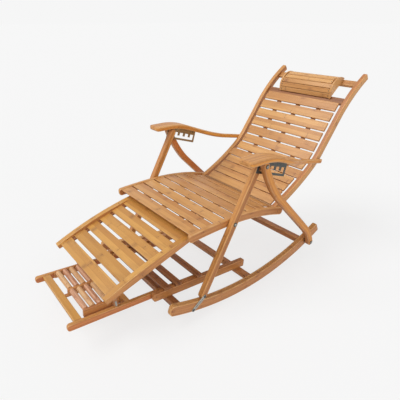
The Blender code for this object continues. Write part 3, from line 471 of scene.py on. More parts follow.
def makeGrainGroup():
    # strips of bamboo glued side by side: tone per strip, fibres, glue lines and knuckle marks
    tree, given, out = startGroup(
        "bambooGrain",
        {"Grain": "vector", "Seed": "value", "Pale": "colour", "Tan": "colour", "Knuckle": "colour",
         "Strip Width": "value", "Knuckle Spacing": "value", "Streaks": "value", "Marks": "value"},
        {"Colour": "colour", "Roughness": "value", "Height": "value"})
    grain, stripWidth, spacing = given["Grain"], given["Strip Width"], given["Knuckle Spacing"]
    split = putNode(tree, "ShaderNodeSeparateXYZ")
    tree.links.new(grain, split.inputs[0])
    along, deep, wide = split.outputs
    seedShift = times(tree, given["Seed"], grainSet["seedShift"])
    deepAt = plus(tree, maths(tree, "DIVIDE", deep, stripWidth), seedShift)
    wideAt = plus(tree, maths(tree, "DIVIDE", wide, stripWidth), seedShift)
    strip = putNode(tree, "ShaderNodeCombineXYZ")
    feed(tree, strip.inputs[0], maths(tree, "FLOOR", deepAt))
    feed(tree, strip.inputs[1], maths(tree, "FLOOR", wideAt))
    feed(tree, strip.inputs[2], times(tree, given["Seed"], grainSet["seedCell"]))
    chance = putNode(tree, "ShaderNodeTexWhiteNoise", noise_dimensions="3D")
    tree.links.new(strip.outputs[0], chance.inputs["Vector"])
    pick = putNode(tree, "ShaderNodeSeparateColor")
    tree.links.new(chance.outputs["Color"], pick.inputs[0])
    tonePick, phasePick, markPick = pick.outputs
    offset = putNode(tree, "ShaderNodeVectorMath", operation="SCALE")
    tree.links.new(chance.outputs["Color"], offset.inputs[0])
    offset.inputs["Scale"].default_value = grainSet["stripShift"]
    away = offset.outputs[0]
    fibre = cloudy(tree, grain, grainSet["fibre"], away, detail=3.0, rough=0.6)
    fine = cloudy(tree, grain, grainSet["fine"], away, rough=0.55)
    broad = cloudy(tree, grain, grainSet["broad"], away)
    ragged = cloudy(tree, grain, grainSet["ragged"], away)
    # tone of the strip, then streaks, fine lines and the glue seams
    tone = plus(tree, times(tree, tonePick, grainSet["stripTone"]),
                times(tree, broad, grainSet["broadTone"]))
    body = mixed(tree, eased(tree, tone, *grainSet["toneRange"]), given["Pale"], given["Tan"])
    streak = times(tree, eased(tree, fibre, *grainSet["streakRange"]), given["Streaks"])
    body = mixed(tree, streak, body, given["Knuckle"])
    lineTone = times(tree, given["Streaks"], grainSet["lineShare"])
    lines = times(tree, eased(tree, fine, *grainSet["lineRange"]), lineTone)
    body = mixed(tree, lines, body, given["Tan"])
    joints = []
    for place in (deepAt, wideAt):
        near = times(tree, fromWhole(tree, place), stripWidth)
        joints.append(fading(tree, near, *grainSet["seamRange"]))
    seam = maths(tree, "MAXIMUM", joints[0], joints[1])
    body = mixed(tree, times(tree, seam, grainSet["seamTone"]), body, given["Knuckle"])
    # a dark core and a wider stain at each knuckle, on most of the strips
    phase = times(tree, phasePick, grainSet["knuckleShift"])
    cycle = plus(tree, maths(tree, "DIVIDE", along, spacing), phase)
    fromKnuckle = times(tree, fromWhole(tree, cycle), spacing)
    shown = maths(tree, "GREATER_THAN", markPick, grainSet["plainStrips"])
    core = times(tree, fading(tree, fromKnuckle, *grainSet["coreRange"]),
                 eased(tree, ragged, *grainSet["raggedRange"]))
    stain = times(tree, fading(tree, fromKnuckle, *grainSet["stainRange"]),
                  eased(tree, broad, *grainSet["patchRange"]))
    mark = times(tree, shown, maths(tree, "MAXIMUM", core, times(tree, stain, grainSet["stainTone"])))
    mark = times(tree, mark, given["Marks"], clamp=True)
    feed(tree, out["Colour"], mixed(tree, mark, body, given["Knuckle"]))
    rough = plus(tree, grainSet["rough"], times(tree, fibre, grainSet["fibreRough"]))
    feed(tree, out["Roughness"], plus(tree, rough, times(tree, seam, grainSet["seamRough"])))
    height = plus(tree, times(tree, fine, grainSet["fineHeight"]), times(tree, core, grainSet["coreHeight"]))
    feed(tree, out["Height"], maths(tree, "SUBTRACT", height, times(tree, seam, grainSet["seamHeight"])))
    return tree


# Paler corners: partly wear and partly a painted highlight where light catches the edges
rubAndHighlightSet = {"patch": (24.0, 60.0, 60.0), "edgeRange": (0.35, 1.0), "patchRange": (0.30, 0.66),
          "smudge": (9.0, 26.0, 26.0), "smudgeRange": (0.52, 0.78), "grime": 0.22}


def makeRubAndHighlightGroup():
    # corners painted paler, partly rubbed by hands and cloth and partly a painted highlight along the edges,
    # and a little grime in smudges
    tree, given, out = startGroup(
        "cornerRubAndHighlight",
        {"Colour": "colour", "Rub And Highlight Colour": "colour", "Grime": "colour", "Edge": "value", "Grain": "vector",
         "Amount": "value"},
        {"Colour": "colour", "Mask": "value"})
    patchy = cloudy(tree, given["Grain"], rubAndHighlightSet["patch"], detail=3.0)
    wornAndHighlit = times(tree, eased(tree, given["Edge"], *rubAndHighlightSet["edgeRange"]),
                 eased(tree, patchy, *rubAndHighlightSet["patchRange"]))
    wornAndHighlit = times(tree, wornAndHighlit, given["Amount"], clamp=True)
    smudge = cloudy(tree, given["Grain"], rubAndHighlightSet["smudge"], detail=4.0, rough=0.6)
    dull = times(tree, eased(tree, smudge, *rubAndHighlightSet["smudgeRange"]), rubAndHighlightSet["grime"])
    dirty = mixed(tree, dull, given["Colour"], given["Grime"])
    feed(tree, out["Colour"], mixed(tree, wornAndHighlit, dirty, given["Rub And Highlight Colour"]))
    feed(tree, out["Mask"], wornAndHighlit)
    return tree


metalSet = {"scratch": (900.0, 120.0, 2400.0), "blotch": (130.0, 130.0, 130.0), "speckRange": (0.48, 0.70),
            "scratchTone": 0.35, "rough": 0.26, "scratchRough": 0.14, "speckRough": 0.22, "speckDepth": 0.5}


def makeMetalGroup():
    # drawn steel: scratches along one way, specks of tarnish
    tree, given, out = startGroup(
        "drawnMetal",
        {"Place": "vector", "Bright": "colour", "Tarnish": "colour", "Speckle": "value"},
        {"Colour": "colour", "Roughness": "value", "Height": "value"})
    scratch = cloudy(tree, given["Place"], metalSet["scratch"])
    blotch = cloudy(tree, given["Place"], metalSet["blotch"], detail=4.0, rough=0.62)
    speck = times(tree, eased(tree, blotch, *metalSet["speckRange"]), given["Speckle"], clamp=True)
    tinted = mixed(tree, times(tree, scratch, metalSet["scratchTone"]), given["Bright"], given["Tarnish"])
    feed(tree, out["Colour"], mixed(tree, speck, tinted, given["Tarnish"]))
    rough = plus(tree, metalSet["rough"], times(tree, scratch, metalSet["scratchRough"]))
    feed(tree, out["Roughness"], plus(tree, rough, times(tree, speck, metalSet["speckRough"])))
    feed(tree, out["Height"], maths(tree, "SUBTRACT", scratch, times(tree, speck, metalSet["speckDepth"])))
    return tree


grainGroup = makeGrainGroup()
rubAndHighlightGroup = makeRubAndHighlightGroup()
metalGroup = makeMetalGroup()
lacquerSet = {"bump": 0.35, "bumpDepth": 0.0005, "rubbedRough": -0.10, "coat": 0.12, "coatRough": 0.28}
steelSet = {"bump": 0.2, "bumpDepth": 0.0002}


def startMaterial(name):
    material = bpy.data.materials.new(name)
    material.use_nodes = True
    tree = material.node_tree
    return material, tree, tree.nodes["Principled BSDF"]


def attribute(tree, name, output):
    return putNode(tree, "ShaderNodeAttribute", attribute_name=name).outputs[output]


def placeGroup(tree, group, values):
    # a shader group in a material; a tuple is a colour
    node = putNode(tree, "ShaderNodeGroup", node_tree=group)
    for label, value in values.items():
        feed(tree, node.inputs[label], (*value, 1.0) if isinstance(value, tuple) else value)
    return node


def addBump(tree, shader, height, settings):
    bump = putNode(tree, "ShaderNodeBump")
    bump.inputs["Strength"].default_value = settings["bump"]
    bump.inputs["Distance"].default_value = settings["bumpDepth"]
    feed(tree, bump.inputs["Height"], height)
    feed(tree, shader.inputs["Normal"], bump.outputs[0])


def bambooFinish(name, look, tones):
    material, tree, shader = startMaterial(name)
    grain = attribute(tree, "grain", "Vector")
    wood = placeGroup(tree, grainGroup, {
        "Grain": grain, "Seed": attribute(tree, "seed", "Fac"), "Pale": tones["pale"], "Tan": tones["tan"],
        "Knuckle": tones["knuckle"], "Strip Width": look["strip"], "Knuckle Spacing": look["spacing"],
        "Streaks": look["streaks"], "Marks": look["marks"]})
    # paler corners, for wear and as a painted edge highlight
    rubAndHighlight = placeGroup(tree, rubAndHighlightGroup, {
        "Colour": wood.outputs["Colour"], "Rub And Highlight Colour": tones["rubAndHighlightTone"], "Grime": tones["knuckle"],
        "Edge": attribute(tree, "edge", "Fac"), "Grain": grain, "Amount": look["rubAndHighlight"]})
    feed(tree, shader.inputs["Base Color"], rubAndHighlight.outputs["Colour"])
    smoother = times(tree, rubAndHighlight.outputs["Mask"], lacquerSet["rubbedRough"])
    feed(tree, shader.inputs["Roughness"], plus(tree, wood.outputs["Roughness"], smoother))
    addBump(tree, shader, wood.outputs["Height"], lacquerSet)
    shader.inputs["Coat Weight"].default_value = lacquerSet["coat"]  # thin clear lacquer
    shader.inputs["Coat Roughness"].default_value = lacquerSet["coatRough"]
    return material


def metalFinish(name, look):
    material, tree, shader = startMaterial(name)
    metal = placeGroup(tree, metalGroup, {
        "Place": putNode(tree, "ShaderNodeTexCoord").outputs["Object"], "Bright": look["bright"],
        "Tarnish": look["tarnish"], "Speckle": look["speckle"]})
    feed(tree, shader.inputs["Base Color"], metal.outputs["Colour"])
    feed(tree, shader.inputs["Roughness"], metal.outputs["Roughness"])
    shader.inputs["Metallic"].default_value = look["metallic"]
    addBump(tree, shader, metal.outputs["Height"], steelSet)
    return material


# Lamination of slats, boards and rollers, then the tones
slatGrain = {"strip": 0.019, "spacing": 0.21, "streaks": 0.24, "marks": 0.95, "rubAndHighlight": 0.5}
goldGrain = {"strip": 0.020, "spacing": 0.19, "streaks": 0.22, "marks": 0.95, "rubAndHighlight": 0.5}
amberGrain = {"strip": 0.0066, "spacing": 0.24, "streaks": 0.30, "marks": 0.7, "rubAndHighlight": 0.55}
boardGrain = {"strip": 0.0085, "spacing": 0.23, "streaks": 0.34, "marks": 0.8, "rubAndHighlight": 0.6}
russetGrain = {"strip": 0.010, "spacing": 0.20, "streaks": 0.35, "marks": 0.8, "rubAndHighlight": 0.4}
rollerGrain = {"strip": 0.0055, "spacing": 0.11, "streaks": 0.46, "marks": 0.9, "rubAndHighlight": 0.4}
# each finish's rubbed tone is the paler colour of its corners, for wear and as a painted highlight
honey = bambooFinish("honeyBamboo", slatGrain, {
    "pale": (0.68, 0.360, 0.116), "tan": (0.48, 0.205, 0.054), "knuckle": (0.22, 0.066, 0.020),
    "rubAndHighlightTone": (0.74, 0.45, 0.20)})
gold = bambooFinish("goldBamboo", goldGrain, {
    "pale": (0.63, 0.320, 0.068), "tan": (0.47, 0.203, 0.034), "knuckle": (0.21, 0.072, 0.019),
    "rubAndHighlightTone": (0.70, 0.42, 0.15)})
amber = bambooFinish("amberBamboo", amberGrain, {
    "pale": (0.66, 0.315, 0.080), "tan": (0.44, 0.170, 0.038), "knuckle": (0.20, 0.062, 0.018),
    "rubAndHighlightTone": (0.72, 0.41, 0.16)})
caramel = bambooFinish("caramelBamboo", boardGrain, {
    "pale": (0.58, 0.250, 0.070), "tan": (0.40, 0.140, 0.035), "knuckle": (0.16, 0.050, 0.017),
    "rubAndHighlightTone": (0.64, 0.34, 0.13)})
toffee = bambooFinish("toffeeBamboo", {**boardGrain, "streaks": 0.40}, {
    "pale": (0.74, 0.315, 0.046), "tan": (0.54, 0.185, 0.024), "knuckle": (0.18, 0.052, 0.015),
    "rubAndHighlightTone": (0.72, 0.36, 0.12)})
chestnut = bambooFinish("chestnutBamboo", boardGrain, {
    "pale": (0.60, 0.205, 0.050), "tan": (0.41, 0.115, 0.026), "knuckle": (0.16, 0.046, 0.015),
    "rubAndHighlightTone": (0.66, 0.31, 0.11)})
russet = bambooFinish("russetBamboo", russetGrain, {
    "pale": (0.40, 0.165, 0.055), "tan": (0.26, 0.090, 0.029), "knuckle": (0.10, 0.031, 0.012),
    "rubAndHighlightTone": (0.48, 0.22, 0.085)})
rose = bambooFinish("roseBamboo", rollerGrain, {
    "pale": (0.72, 0.415, 0.245), "tan": (0.52, 0.235, 0.120), "knuckle": (0.25, 0.080, 0.038),
    "rubAndHighlightTone": (0.78, 0.50, 0.32)})
straw = bambooFinish("strawBamboo", {**rollerGrain, "streaks": 0.42}, {
    "pale": (0.76, 0.500, 0.250), "tan": (0.60, 0.310, 0.130), "knuckle": (0.30, 0.110, 0.045),
    "rubAndHighlightTone": (0.80, 0.56, 0.32)})
steel = metalFinish("zincSteel", {
    "bright": (0.42, 0.41, 0.37), "tarnish": (0.17, 0.16, 0.13), "speckle": 0.4, "metallic": 0.85})
darkSteel = metalFinish("darkSteel", {
    "bright": (0.11, 0.11, 0.10), "tarnish": (0.045, 0.043, 0.038), "speckle": 0.7, "metallic": 0.7})
brownSteel = metalFinish("brownedSteel", {
    "bright": (0.34, 0.17, 0.065), "tarnish": (0.20, 0.085, 0.030), "speckle": 0.5, "metallic": 0.35})
plateReflectionSteel = metalFinish("paintedReflectionSteel", {
    "bright": (0.40, 0.31, 0.17), "tarnish": (0.13, 0.10, 0.055), "speckle": 0.6, "metallic": 0.75})
print("finishes ready")


def boardPair(stem, at, first, last, half, ends, soft, finish, steps, paintedLightSideFinish=None):
    # the left and the right board of a pair, each where its solid is; a side finish paints the sides lighter
    # or darker than the top, as painted light and shade
    for tag, sign in sides:
        node = "%s_%s" % (stem, tag)
        inner, outer = fromMiddle(node)
        shape = newShape(1 if paintedLightSideFinish else None)
        addBoard(shape, at, first, last, half, ends, inner * sign, outer * sign, soft, steps)
        finishPiece(node + "_board", shape, [finish, paintedLightSideFinish or finish], node)


def repaintLitAndShadedFaces(pieceName, finishes):
    # one board of a pair with its painted light and shade in other tones: top, underside and ends first,
    # then the sides
    for slot, finish in zip(bpy.data.objects[pieceName].material_slots, finishes):
        slot.material = finish


# Rockers
rockerSet = {"radius": 1.05, "depth": 0.040, "lowY": -0.035, "facetDeg": 2.1, "frontFacets": 9.5,
             "rearFacets": 12.5, "frontRound": 0.012, "rearRound": 0.006, "soft": 0.0035, "inside": 0.0001,
             "steps": 64}
facetRadius = rockerSet["radius"] * math.cos(math.radians(rockerSet["facetDeg"] / 2))
rockerCentre = drawn(rockerSet["lowY"], facetRadius)
rockerMiddle = facetRadius - rockerSet["depth"] / 2
rockerAt = arcPath(rockerCentre, rockerMiddle)
rockerFirst = -math.radians(rockerSet["frontFacets"] * rockerSet["facetDeg"]) * rockerMiddle
rockerLast = math.radians(rockerSet["rearFacets"] * rockerSet["facetDeg"]) * rockerMiddle
# the rocker's top is painted lighter than its sides: painted light that lifts the shade the seat casts on it
boardPair("rocker", rockerAt, rockerFirst, rockerLast, rockerSet["depth"] / 2 - rockerSet["inside"],
          (rockerSet["frontRound"], rockerSet["rearRound"]), rockerSet["soft"], honey,
          rockerSet["steps"], caramel)

# Front legs
legSet = {"depth": 0.026, "soft": 0.0035, "steps": 30}
legRun = apex - foot
legAt, legLength = straightPath(foot, legRun.length, angleOf(legRun))
# painted light and shade: the near leg's front is lighter than its sides, the far leg has them the other way
# round
boardPair("front_leg", legAt, 0.0, legLength, legSet["depth"] / 2, ("half", "half"), legSet["soft"], amber,
          legSet["steps"], caramel)
repaintLitAndShadedFaces("front_leg_r_board", (caramel, amber))

# Bolts: a shape is a row of shares of its thickness and of its radius
boltSet = {"pinRadius": 0.004, "pinChamfer": 0.001, "pinTip": 0.8, "washer": 0.0080, "dome": 0.0050,
           "headThick": 0.0045, "washerShare": 0.28, "spacer": 0.011, "spacerChamfer": 0.0005,
           "spacerRim": 0.93, "domeFoot": 0.5, "sides": 32,
           "washerShape": ((0.0, 0.95), (0.08, 1.0), (0.22, 1.0), (0.28, 0.95)),
           "domeShape": ((0.0, 1.0), (0.42, 0.985), (0.70, 0.88), (0.92, 0.66), (1.0, 0.50), (1.0, 0.44),
                         (0.45, 0.42), (0.45, 0.05))}


def boltPair(stem, centre, hasSpacer):
    # dark shank and washer, with a brighter domed head that has a socket
    pin, thick = boltSet["pinRadius"], boltSet["headThick"]
    for tag, sign in sides:
        node = "%s_%s" % (stem, tag)
        first, last = fromMiddle(node)
        headFrom = last - thick
        shank = [(first, pin * boltSet["pinTip"]), (first + boltSet["pinChamfer"], pin), (headFrom, pin)]
        if hasSpacer:
            spacer, chamfer = boltSet["spacer"], boltSet["spacerChamfer"]
            spacerTo = fromMiddle("rear_strut_" + tag)[0] - fitGap
            shank = [(first, spacer * boltSet["spacerRim"]), (first + chamfer, spacer),
                     (spacerTo - chamfer, spacer), (spacerTo, spacer * boltSet["spacerRim"]),
                     (spacerTo, pin), (headFrom, pin)]
        rim = headFrom + thick * boltSet["washerShare"]
        washer = profileOf(headFrom, thick, boltSet["washer"], boltSet["washerShape"])
        washer.append((rim, boltSet["dome"] * boltSet["domeFoot"]))
        dome = profileOf(rim, last - rim, boltSet["dome"], boltSet["domeShape"])
        shape = newShape()
        addTurned(shape, shank + washer, centre, boltSet["sides"], sign)
        addTurned(shape, dome, centre, boltSet["sides"], sign, 1)
        finishPiece(node + "_head", shape, [darkSteel, steel], node)


boltPair("seat_bolt", seatBolt, False)

# Rear struts, drawn from the apex and stretched to end at the foot bolt
strutSet = {"depth": 0.028, "soft": 0.0035, "steps": 60,
            "run": ((0.118, -68.0, -55.0), (0.060, -55.0, -45.0), (0.265, -44.5, -44.5),
                    (0.097, -46.0, -72.0))}
strutFoot = boxMiddle("strut_foot_bolt_l")
drawnAt, drawnLength = runPath(apex, strutSet["run"])
drawnRun = drawnAt(drawnLength)[0] - apex
wantedRun = strutFoot - apex
stretch = wantedRun.length / drawnRun.length
turn = angleOf(wantedRun) - angleOf(drawnRun)
strutAt, strutLength = runPath(apex, [(length * stretch, first + turn, last + turn)
                                      for length, first, last in strutSet["run"]])
# the struts' sides are painted toffee, on the far strut chestnut, a different tone from their front and back
# as painted light and shade
boardPair("rear_strut", strutAt, 0.0, strutLength, strutSet["depth"] / 2, ("half", "half"), strutSet["soft"],
          caramel, strutSet["steps"], toffee)
repaintLitAndShadedFaces("rear_strut_r_board", (caramel, chestnut))
boltPair("apex_bolt", apex, True)
boltPair("strut_foot_bolt", strutFoot, True)

# Steel straps at the feet: a slotted plate with two riveted pins
strapSet = {"width": 0.014, "length": 0.062, "angle": 34.0, "slotWidth": 0.0030, "slotShare": 0.55,
            "bevel": 0.0005, "rivetRadius": 0.0056, "rivetRise": 0.0016, "rivetSides": 24,
            "rivetShape": ((0.0, 1.0), (0.35, 1.0), (0.75, 0.75), (1.0, 0.3))}
strapLow = foot - heading(strapSet["angle"]) * strapSet["length"]
strapMiddle = (foot + strapLow) / 2
slotReach = heading(strapSet["angle"]) * (strapSet["length"] * strapSet["slotShare"] / 2)
strapRim = (foot, strapLow, strapSet["width"] / 2)
strapSlot = (strapMiddle + slotReach, strapMiddle - slotReach, strapSet["slotWidth"] / 2)


def stadium(first, second, half, count=10):
    tilt = angleOf(first - second)
    loop = [first + heading(angle) * half for angle in even(tilt - 90, tilt + 90, count)]
    return loop + [second + heading(angle) * half for angle in even(tilt + 90, tilt + 270, count)]


for tag, sign in sides:
    node = "foot_strap_" + tag
    outer = fromMiddle(node)[1]
    inner = fromMiddle("front_leg_" + tag)[1] + fitGap
    bevel = strapSet["bevel"]
    rings = []
    for x, (first, second, half), nudge in (
            (inner, strapSlot, 0.0), (inner, strapRim, 0.0), (outer - bevel, strapRim, 0.0),
            (outer, strapRim, bevel), (outer, strapSlot, -bevel), (outer - bevel, strapSlot, 0.0)):
        loop = stadium(first, second, half)
        ring = []
        for step, point in enumerate(loop):
            near = first if step < len(loop) / 2 else second
            spot = point + (near - point).normalized() * nudge
            ring.append(((x * sign, spot.x, spot.y), (spot.x, spot.y, x), 0.0))
        rings.append(ring)
    shape = newShape()
    addRings(shape, rings, 0, metalSeed, closed=True)
    rivet = profileOf(outer, strapSet["rivetRise"], strapSet["rivetRadius"], strapSet["rivetShape"])
    for centre in (foot, strapLow):
        addTurned(shape, rivet, centre, strapSet["rivetSides"], sign, 1, metalSeed)
    finishPiece(node + "_plate", shape, [steel, darkSteel], node)
print("rockers, legs, struts and their steel done")

# Lower crossbars, guides and shelf slats
slideSet = {"angle": -5.2, "seatY": -0.335, "frontBarRise": 0.0012, "railDepth": 0.024, "frontY": -0.698,
            "rearY": -0.165, "tipRound": 0.0085, "soft": 0.0028, "steps": 28}
guideSet = {"depth": 0.032, "frontY": -0.400, "rearY": 0.045, "soft": 0.0030, "steps": 24}
crossSet = {"width": 0.030, "depth": 0.019, "rearDepth": 0.022, "soft": 0.0030}
shelfSet = {"count": 3, "width": 0.028, "thick": 0.010, "soft": 0.0018}
tilt = slideSet["angle"]
slope = math.tan(math.radians(tilt))
level = math.cos(math.radians(tilt))  # level share of a length along the slide
slideTips = (slideSet["tipRound"], slideSet["tipRound"] / 2)
seatReach = slideSet["seatY"] - rockerSet["lowY"]
rockerUnder = rockerCentre.y - math.sqrt(rockerSet["radius"] ** 2 - seatReach ** 2)
slideSeat = rockerUnder + slideSet["frontBarRise"] + crossSet["depth"] + fitGap


def slideUnder(y):
    # underside of the slide rails at a drawn y
    return slideSeat + (y - slideSet["seatY"]) * slope


def slideTop(y):
    return slideUnder(y) + slideSet["railDepth"] / level


def slidePath(frontY, rearY, depth):
    start = drawn(frontY, slideUnder(frontY)) + across(tilt) * (depth / 2)
    return straightPath(start, (rearY - frontY) / level, tilt)


def crossPiece(node, degrees, width, thick, soft, finish):
    # a bar across the chair, in the middle of its solid's box and as long
    low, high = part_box(node)
    shape = newShape()
    addAcross(shape, (low + high) / 2, degrees, (high.x - low.x, width, thick), soft)
    finishPiece(node + "_bar", shape, [finish], node)


for node, degrees, depth, finish, slotName in (
        ("front_crossbar", tilt, crossSet["depth"], russet, "bamboo_russet"),
        ("middle_crossbar", tilt, crossSet["depth"], caramel, "bamboo_russet"),
        ("rear_crossbar", 0.0, crossSet["rearDepth"], caramel, "bamboo_caramel")):
    crossPiece(node, degrees, crossSet["width"], depth, crossSet["soft"], finish)
guideAt, guideLength = slidePath(guideSet["frontY"], guideSet["rearY"], guideSet["depth"])
boardPair("slide_guide", guideAt, 0.0, guideLength, guideSet["depth"] / 2, slideTips, guideSet["soft"],
          caramel, guideSet["steps"])
# the shelf slats are painted dark russet as painted shade
for number in range(shelfSet["count"]):
    crossPiece("shelf_slat_%d" % (number + 1), tilt, shelfSet["width"], shelfSet["thick"], shelfSet["soft"],
               russet)
print("lower frame done")

# Foot frame: slide rails, two slats, and the roller unit
footSet = {"slatThick": 0.012, "frontWidth": 0.026, "rearWidth": 0.033, "soft": 0.0022, "cheekRise": 0.0165,
           "frontSlatY": -0.6585, "rearSlatY": -0.4915, "frontGap": 0.0115, "cheekSoft": 0.0018,
           "tongue": 0.008, "tongueLap": 0.003, "tongueSoft": 0.0012}
railAt, railLength = slidePath(slideSet["frontY"], slideSet["rearY"], slideSet["railDepth"])
# the slide rails' sides are painted darker chestnut than their amber top, as painted shade
boardPair("slide_rail", railAt, 0.0, railLength, slideSet["railDepth"] / 2, slideTips, slideSet["soft"],
          amber, slideSet["steps"], chestnut)
for node, width, finish, slotName in (("foot_front_slat", footSet["frontWidth"], gold, "bamboo_gold"),
                                      ("foot_rear_slat", footSet["rearWidth"], honey, "bamboo_honey")):
    crossPiece(node, tilt, width / level, footSet["slatThick"] * level, footSet["soft"], finish)
slatEdge = footSet["frontSlatY"] + footSet["frontWidth"] / 2 + fitGap
cheekFront = slatEdge + footSet["frontGap"]
cheekRear = footSet["rearSlatY"] - footSet["rearWidth"] / 2 - fitGap
cheekDepth = (footSet["slatThick"] + footSet["cheekRise"]) * level
cheekStart = drawn(cheekFront, slideTop(cheekFront) - footSet["slatThick"] + cheekDepth / level / 2)
cheekAt, cheekLength = straightPath(cheekStart, (cheekRear - cheekFront) / level, tilt)
cheekMiddle = (cheekAt(0.0)[0] + cheekAt(cheekLength)[0]) / 2
tongueRear = cheekFront + footSet["tongueLap"]  # the tongue runs a little into the board behind it
tongueY = (slatEdge + tongueRear) / 2
tongueMiddle = drawn(tongueY, slideTop(tongueY) - footSet["slatThick"] + footSet["tongue"] / 2)
for node in ("roller_cheek_l", "roller_cheek_r", "roller_divider"):
    low, high = faces(node)
    middleX = (low + high) / 2
    shape = newShape()
    addLengthwise(shape, spot3(middleX, cheekMiddle), tilt,
                  (cheekLength - 2 * fitGap, high - low, cheekDepth), footSet["cheekSoft"])
    if node == "roller_divider":
        tongueLength = (tongueRear - slatEdge) / level - 2 * fitGap
        addLengthwise(shape, spot3(middleX, tongueMiddle), tilt,
                      (tongueLength, high - low, footSet["tongue"] * level), footSet["tongueSoft"])
    finishPiece(node + "_board", shape, [caramel], node)

# Foot rollers with two turned grooves near each end
rollerSet = {"rows": 5, "radius": 0.0098, "journal": 0.003, "journalLength": 0.0057, "journalTip": 0.8,
             "chamfer": 0.0006, "shoulder": 0.0012, "shoulderShares": (0.70, 0.90), "crown": 0.0006,
             "groove": 0.0007, "grooveHalf": 0.014, "grooves": (0.10, 0.16, 0.84, 0.90),
             "span": (0.03, 0.97), "steps": 46, "sides": 24}
journal, journalLength = rollerSet["journal"], rollerSet["journalLength"]
shoulder, shoulderTop = [rollerSet["radius"] * share for share in rollerSet["shoulderShares"]]
rollerEnd = [(0.0, journal * rollerSet["journalTip"]), (rollerSet["chamfer"], journal),
             (journalLength, journal), (journalLength, shoulder),
             (journalLength + rollerSet["shoulder"], shoulderTop)]
for tag, sign in sides:
    for row in range(1, rollerSet["rows"] + 1):
        node = "foot_roller_%s%d" % (tag, row)
        first, last = fromMiddle(node)
        bodyFrom = first + journalLength
        bodyLength = last - journalLength - bodyFrom
        profile = [(first + x, radius) for x, radius in rollerEnd]
        for share in even(*rollerSet["span"], rollerSet["steps"]):
            radius = rollerSet["radius"] - rollerSet["crown"] * (2 * share - 1) ** 2
            cut = max(1.0 - abs(share - groove) / rollerSet["grooveHalf"] for groove in rollerSet["grooves"])
            profile.append((bodyFrom + bodyLength * share, radius - rollerSet["groove"] * max(0.0, cut)))
        profile += [(last - x, radius) for x, radius in rollerEnd[::-1]]
        shape = newShape()
        addTurned(shape, profile, boxMiddle(node), rollerSet["sides"], sign)
        pale = (row + (tag == "r")) % 2 == 0  # rose and straw coloured rollers take turns
        finishPiece(node + "_rod", shape, [straw if pale else rose], node)
print("foot frame and rollers done")

# Leg rest: two arched side rails, six slats, and ledges under the slat ends
restSet = {"front": (-0.587, 0.196), "angle": 17.6, "length": 0.351, "half": 0.2135, "rail": 0.0235,
           "thick": 0.018, "crown": 0.011, "inset": 0.0128, "rearInset": 0.001, "slats": 6,
           "slatThick": 0.0065, "gap": 0.0115, "step": 0.001, "ledgeWidth": 0.014, "ledgeThick": 0.008,
           "soft": 0.0026, "slatSoft": 0.0016, "slatTips": 0.0004, "ledgeSoft": 0.0012, "bite": 0.001,
           "tipTurns": (90.0, 55.0, 25.0), "steps": 28}
restAngle = restSet["angle"]
restAt, restLength = straightPath(drawn(*restSet["front"]), restSet["length"], restAngle)
restInner = restSet["half"] - restSet["rail"]
slatUnder = -restSet["step"] - restSet["slatThick"]
restTip = restSet["soft"]
tips = tipStops(restTip, restSet["tipTurns"])
stops = tips + [(place, 0.0) for place in even(restTip, restLength - restTip, restSet["steps"])]
stops += [(restLength - place, inset) for place, inset in tips[::-1]]
# the rails' and slats' sides are painted darker caramel than the gold tops, as painted shade
shape = newShape(2)
for tag, sign in sides:
    rings = []
    for place, inset in stops:
        share = place / restLength
        top = restSet["crown"] * 4 * share * (1 - share) - inset
        rings.append(ringOn(restAt, place, -restSet["thick"] + inset, top, restInner + inset,
                            restSet["half"] - inset, restSet["soft"], sign))
    addRings(shape, rings)
slatRun = restLength - restSet["inset"] - restSet["rearInset"]
slatPitch = (slatRun + restSet["gap"]) / restSet["slats"]
restSlat = slatPitch - restSet["gap"]
for number in range(restSet["slats"]):
    place = restSet["inset"] + number * slatPitch + restSlat / 2
    middle = offPath(restAt, place, slatUnder + restSet["slatThick"] / 2)
    addAcross(shape, spot3(0.0, middle), restAngle,
              (2 * (restInner + restSet["bite"]), restSlat, restSet["slatThick"]),
              restSet["slatSoft"], restSet["slatTips"])
ledgeFrom = restSet["inset"] + restSlat / 4
ledgeTo = restLength - restSet["rearInset"] - restSlat / 4
ledgeRise = slatUnder + restSet["bite"] - restSet["ledgeThick"] / 2
ledgeMiddle = offPath(restAt, (ledgeFrom + ledgeTo) / 2, ledgeRise)
ledgeX = restInner + restSet["bite"] / 2 - restSet["ledgeWidth"] / 2
for tag, sign in sides:
    addLengthwise(shape, spot3(ledgeX * sign, ledgeMiddle), restAngle,
                  (ledgeTo - ledgeFrom, restSet["ledgeWidth"], restSet["ledgeThick"]),
                  restSet["ledgeSoft"], 1)
finishPiece("leg_rest_frame", shape, [gold, russet, caramel], "leg_rest_panel")

# Props of the leg rest, each with a riveted steel clip at its foot
propSet = {"width": 0.015, "eyeRadius": 0.0075, "eyeSteps": 12, "edgeSteps": (0.25, 0.5, 0.75), "y": -0.530,
           "lean": 0.011, "bevel": 0.0012, "clipThick": 0.0009, "clipHalf": 0.0030, "clipLength": 0.015,
           "clipGap": 0.0001, "clipBevel": 0.0003, "rivetRadius": 0.0022, "rivetRise": 0.0008,
           "rivetSides": 20, "rivetShape": ((0.0, 1.0), (0.625, 0.9), (1.0, 0.4))}
propPlace = (propSet["y"] - restSet["front"][0]) / math.cos(math.radians(restAngle)) - propSet["lean"]
leftTop = offPath(restAt, propPlace - propSet["width"] / 2, slatUnder - fitGap)
rightTop = offPath(restAt, propPlace + propSet["width"] / 2, slatUnder - fitGap)
outline = [propFoot + heading(angle) * propSet["eyeRadius"]
           for angle in even(0.0, -180.0, propSet["eyeSteps"])]
outline += [outline[-1].lerp(leftTop, share) for share in propSet["edgeSteps"]] + [leftTop, rightTop]
outline += [rightTop.lerp(outline[0], share) for share in propSet["edgeSteps"]]
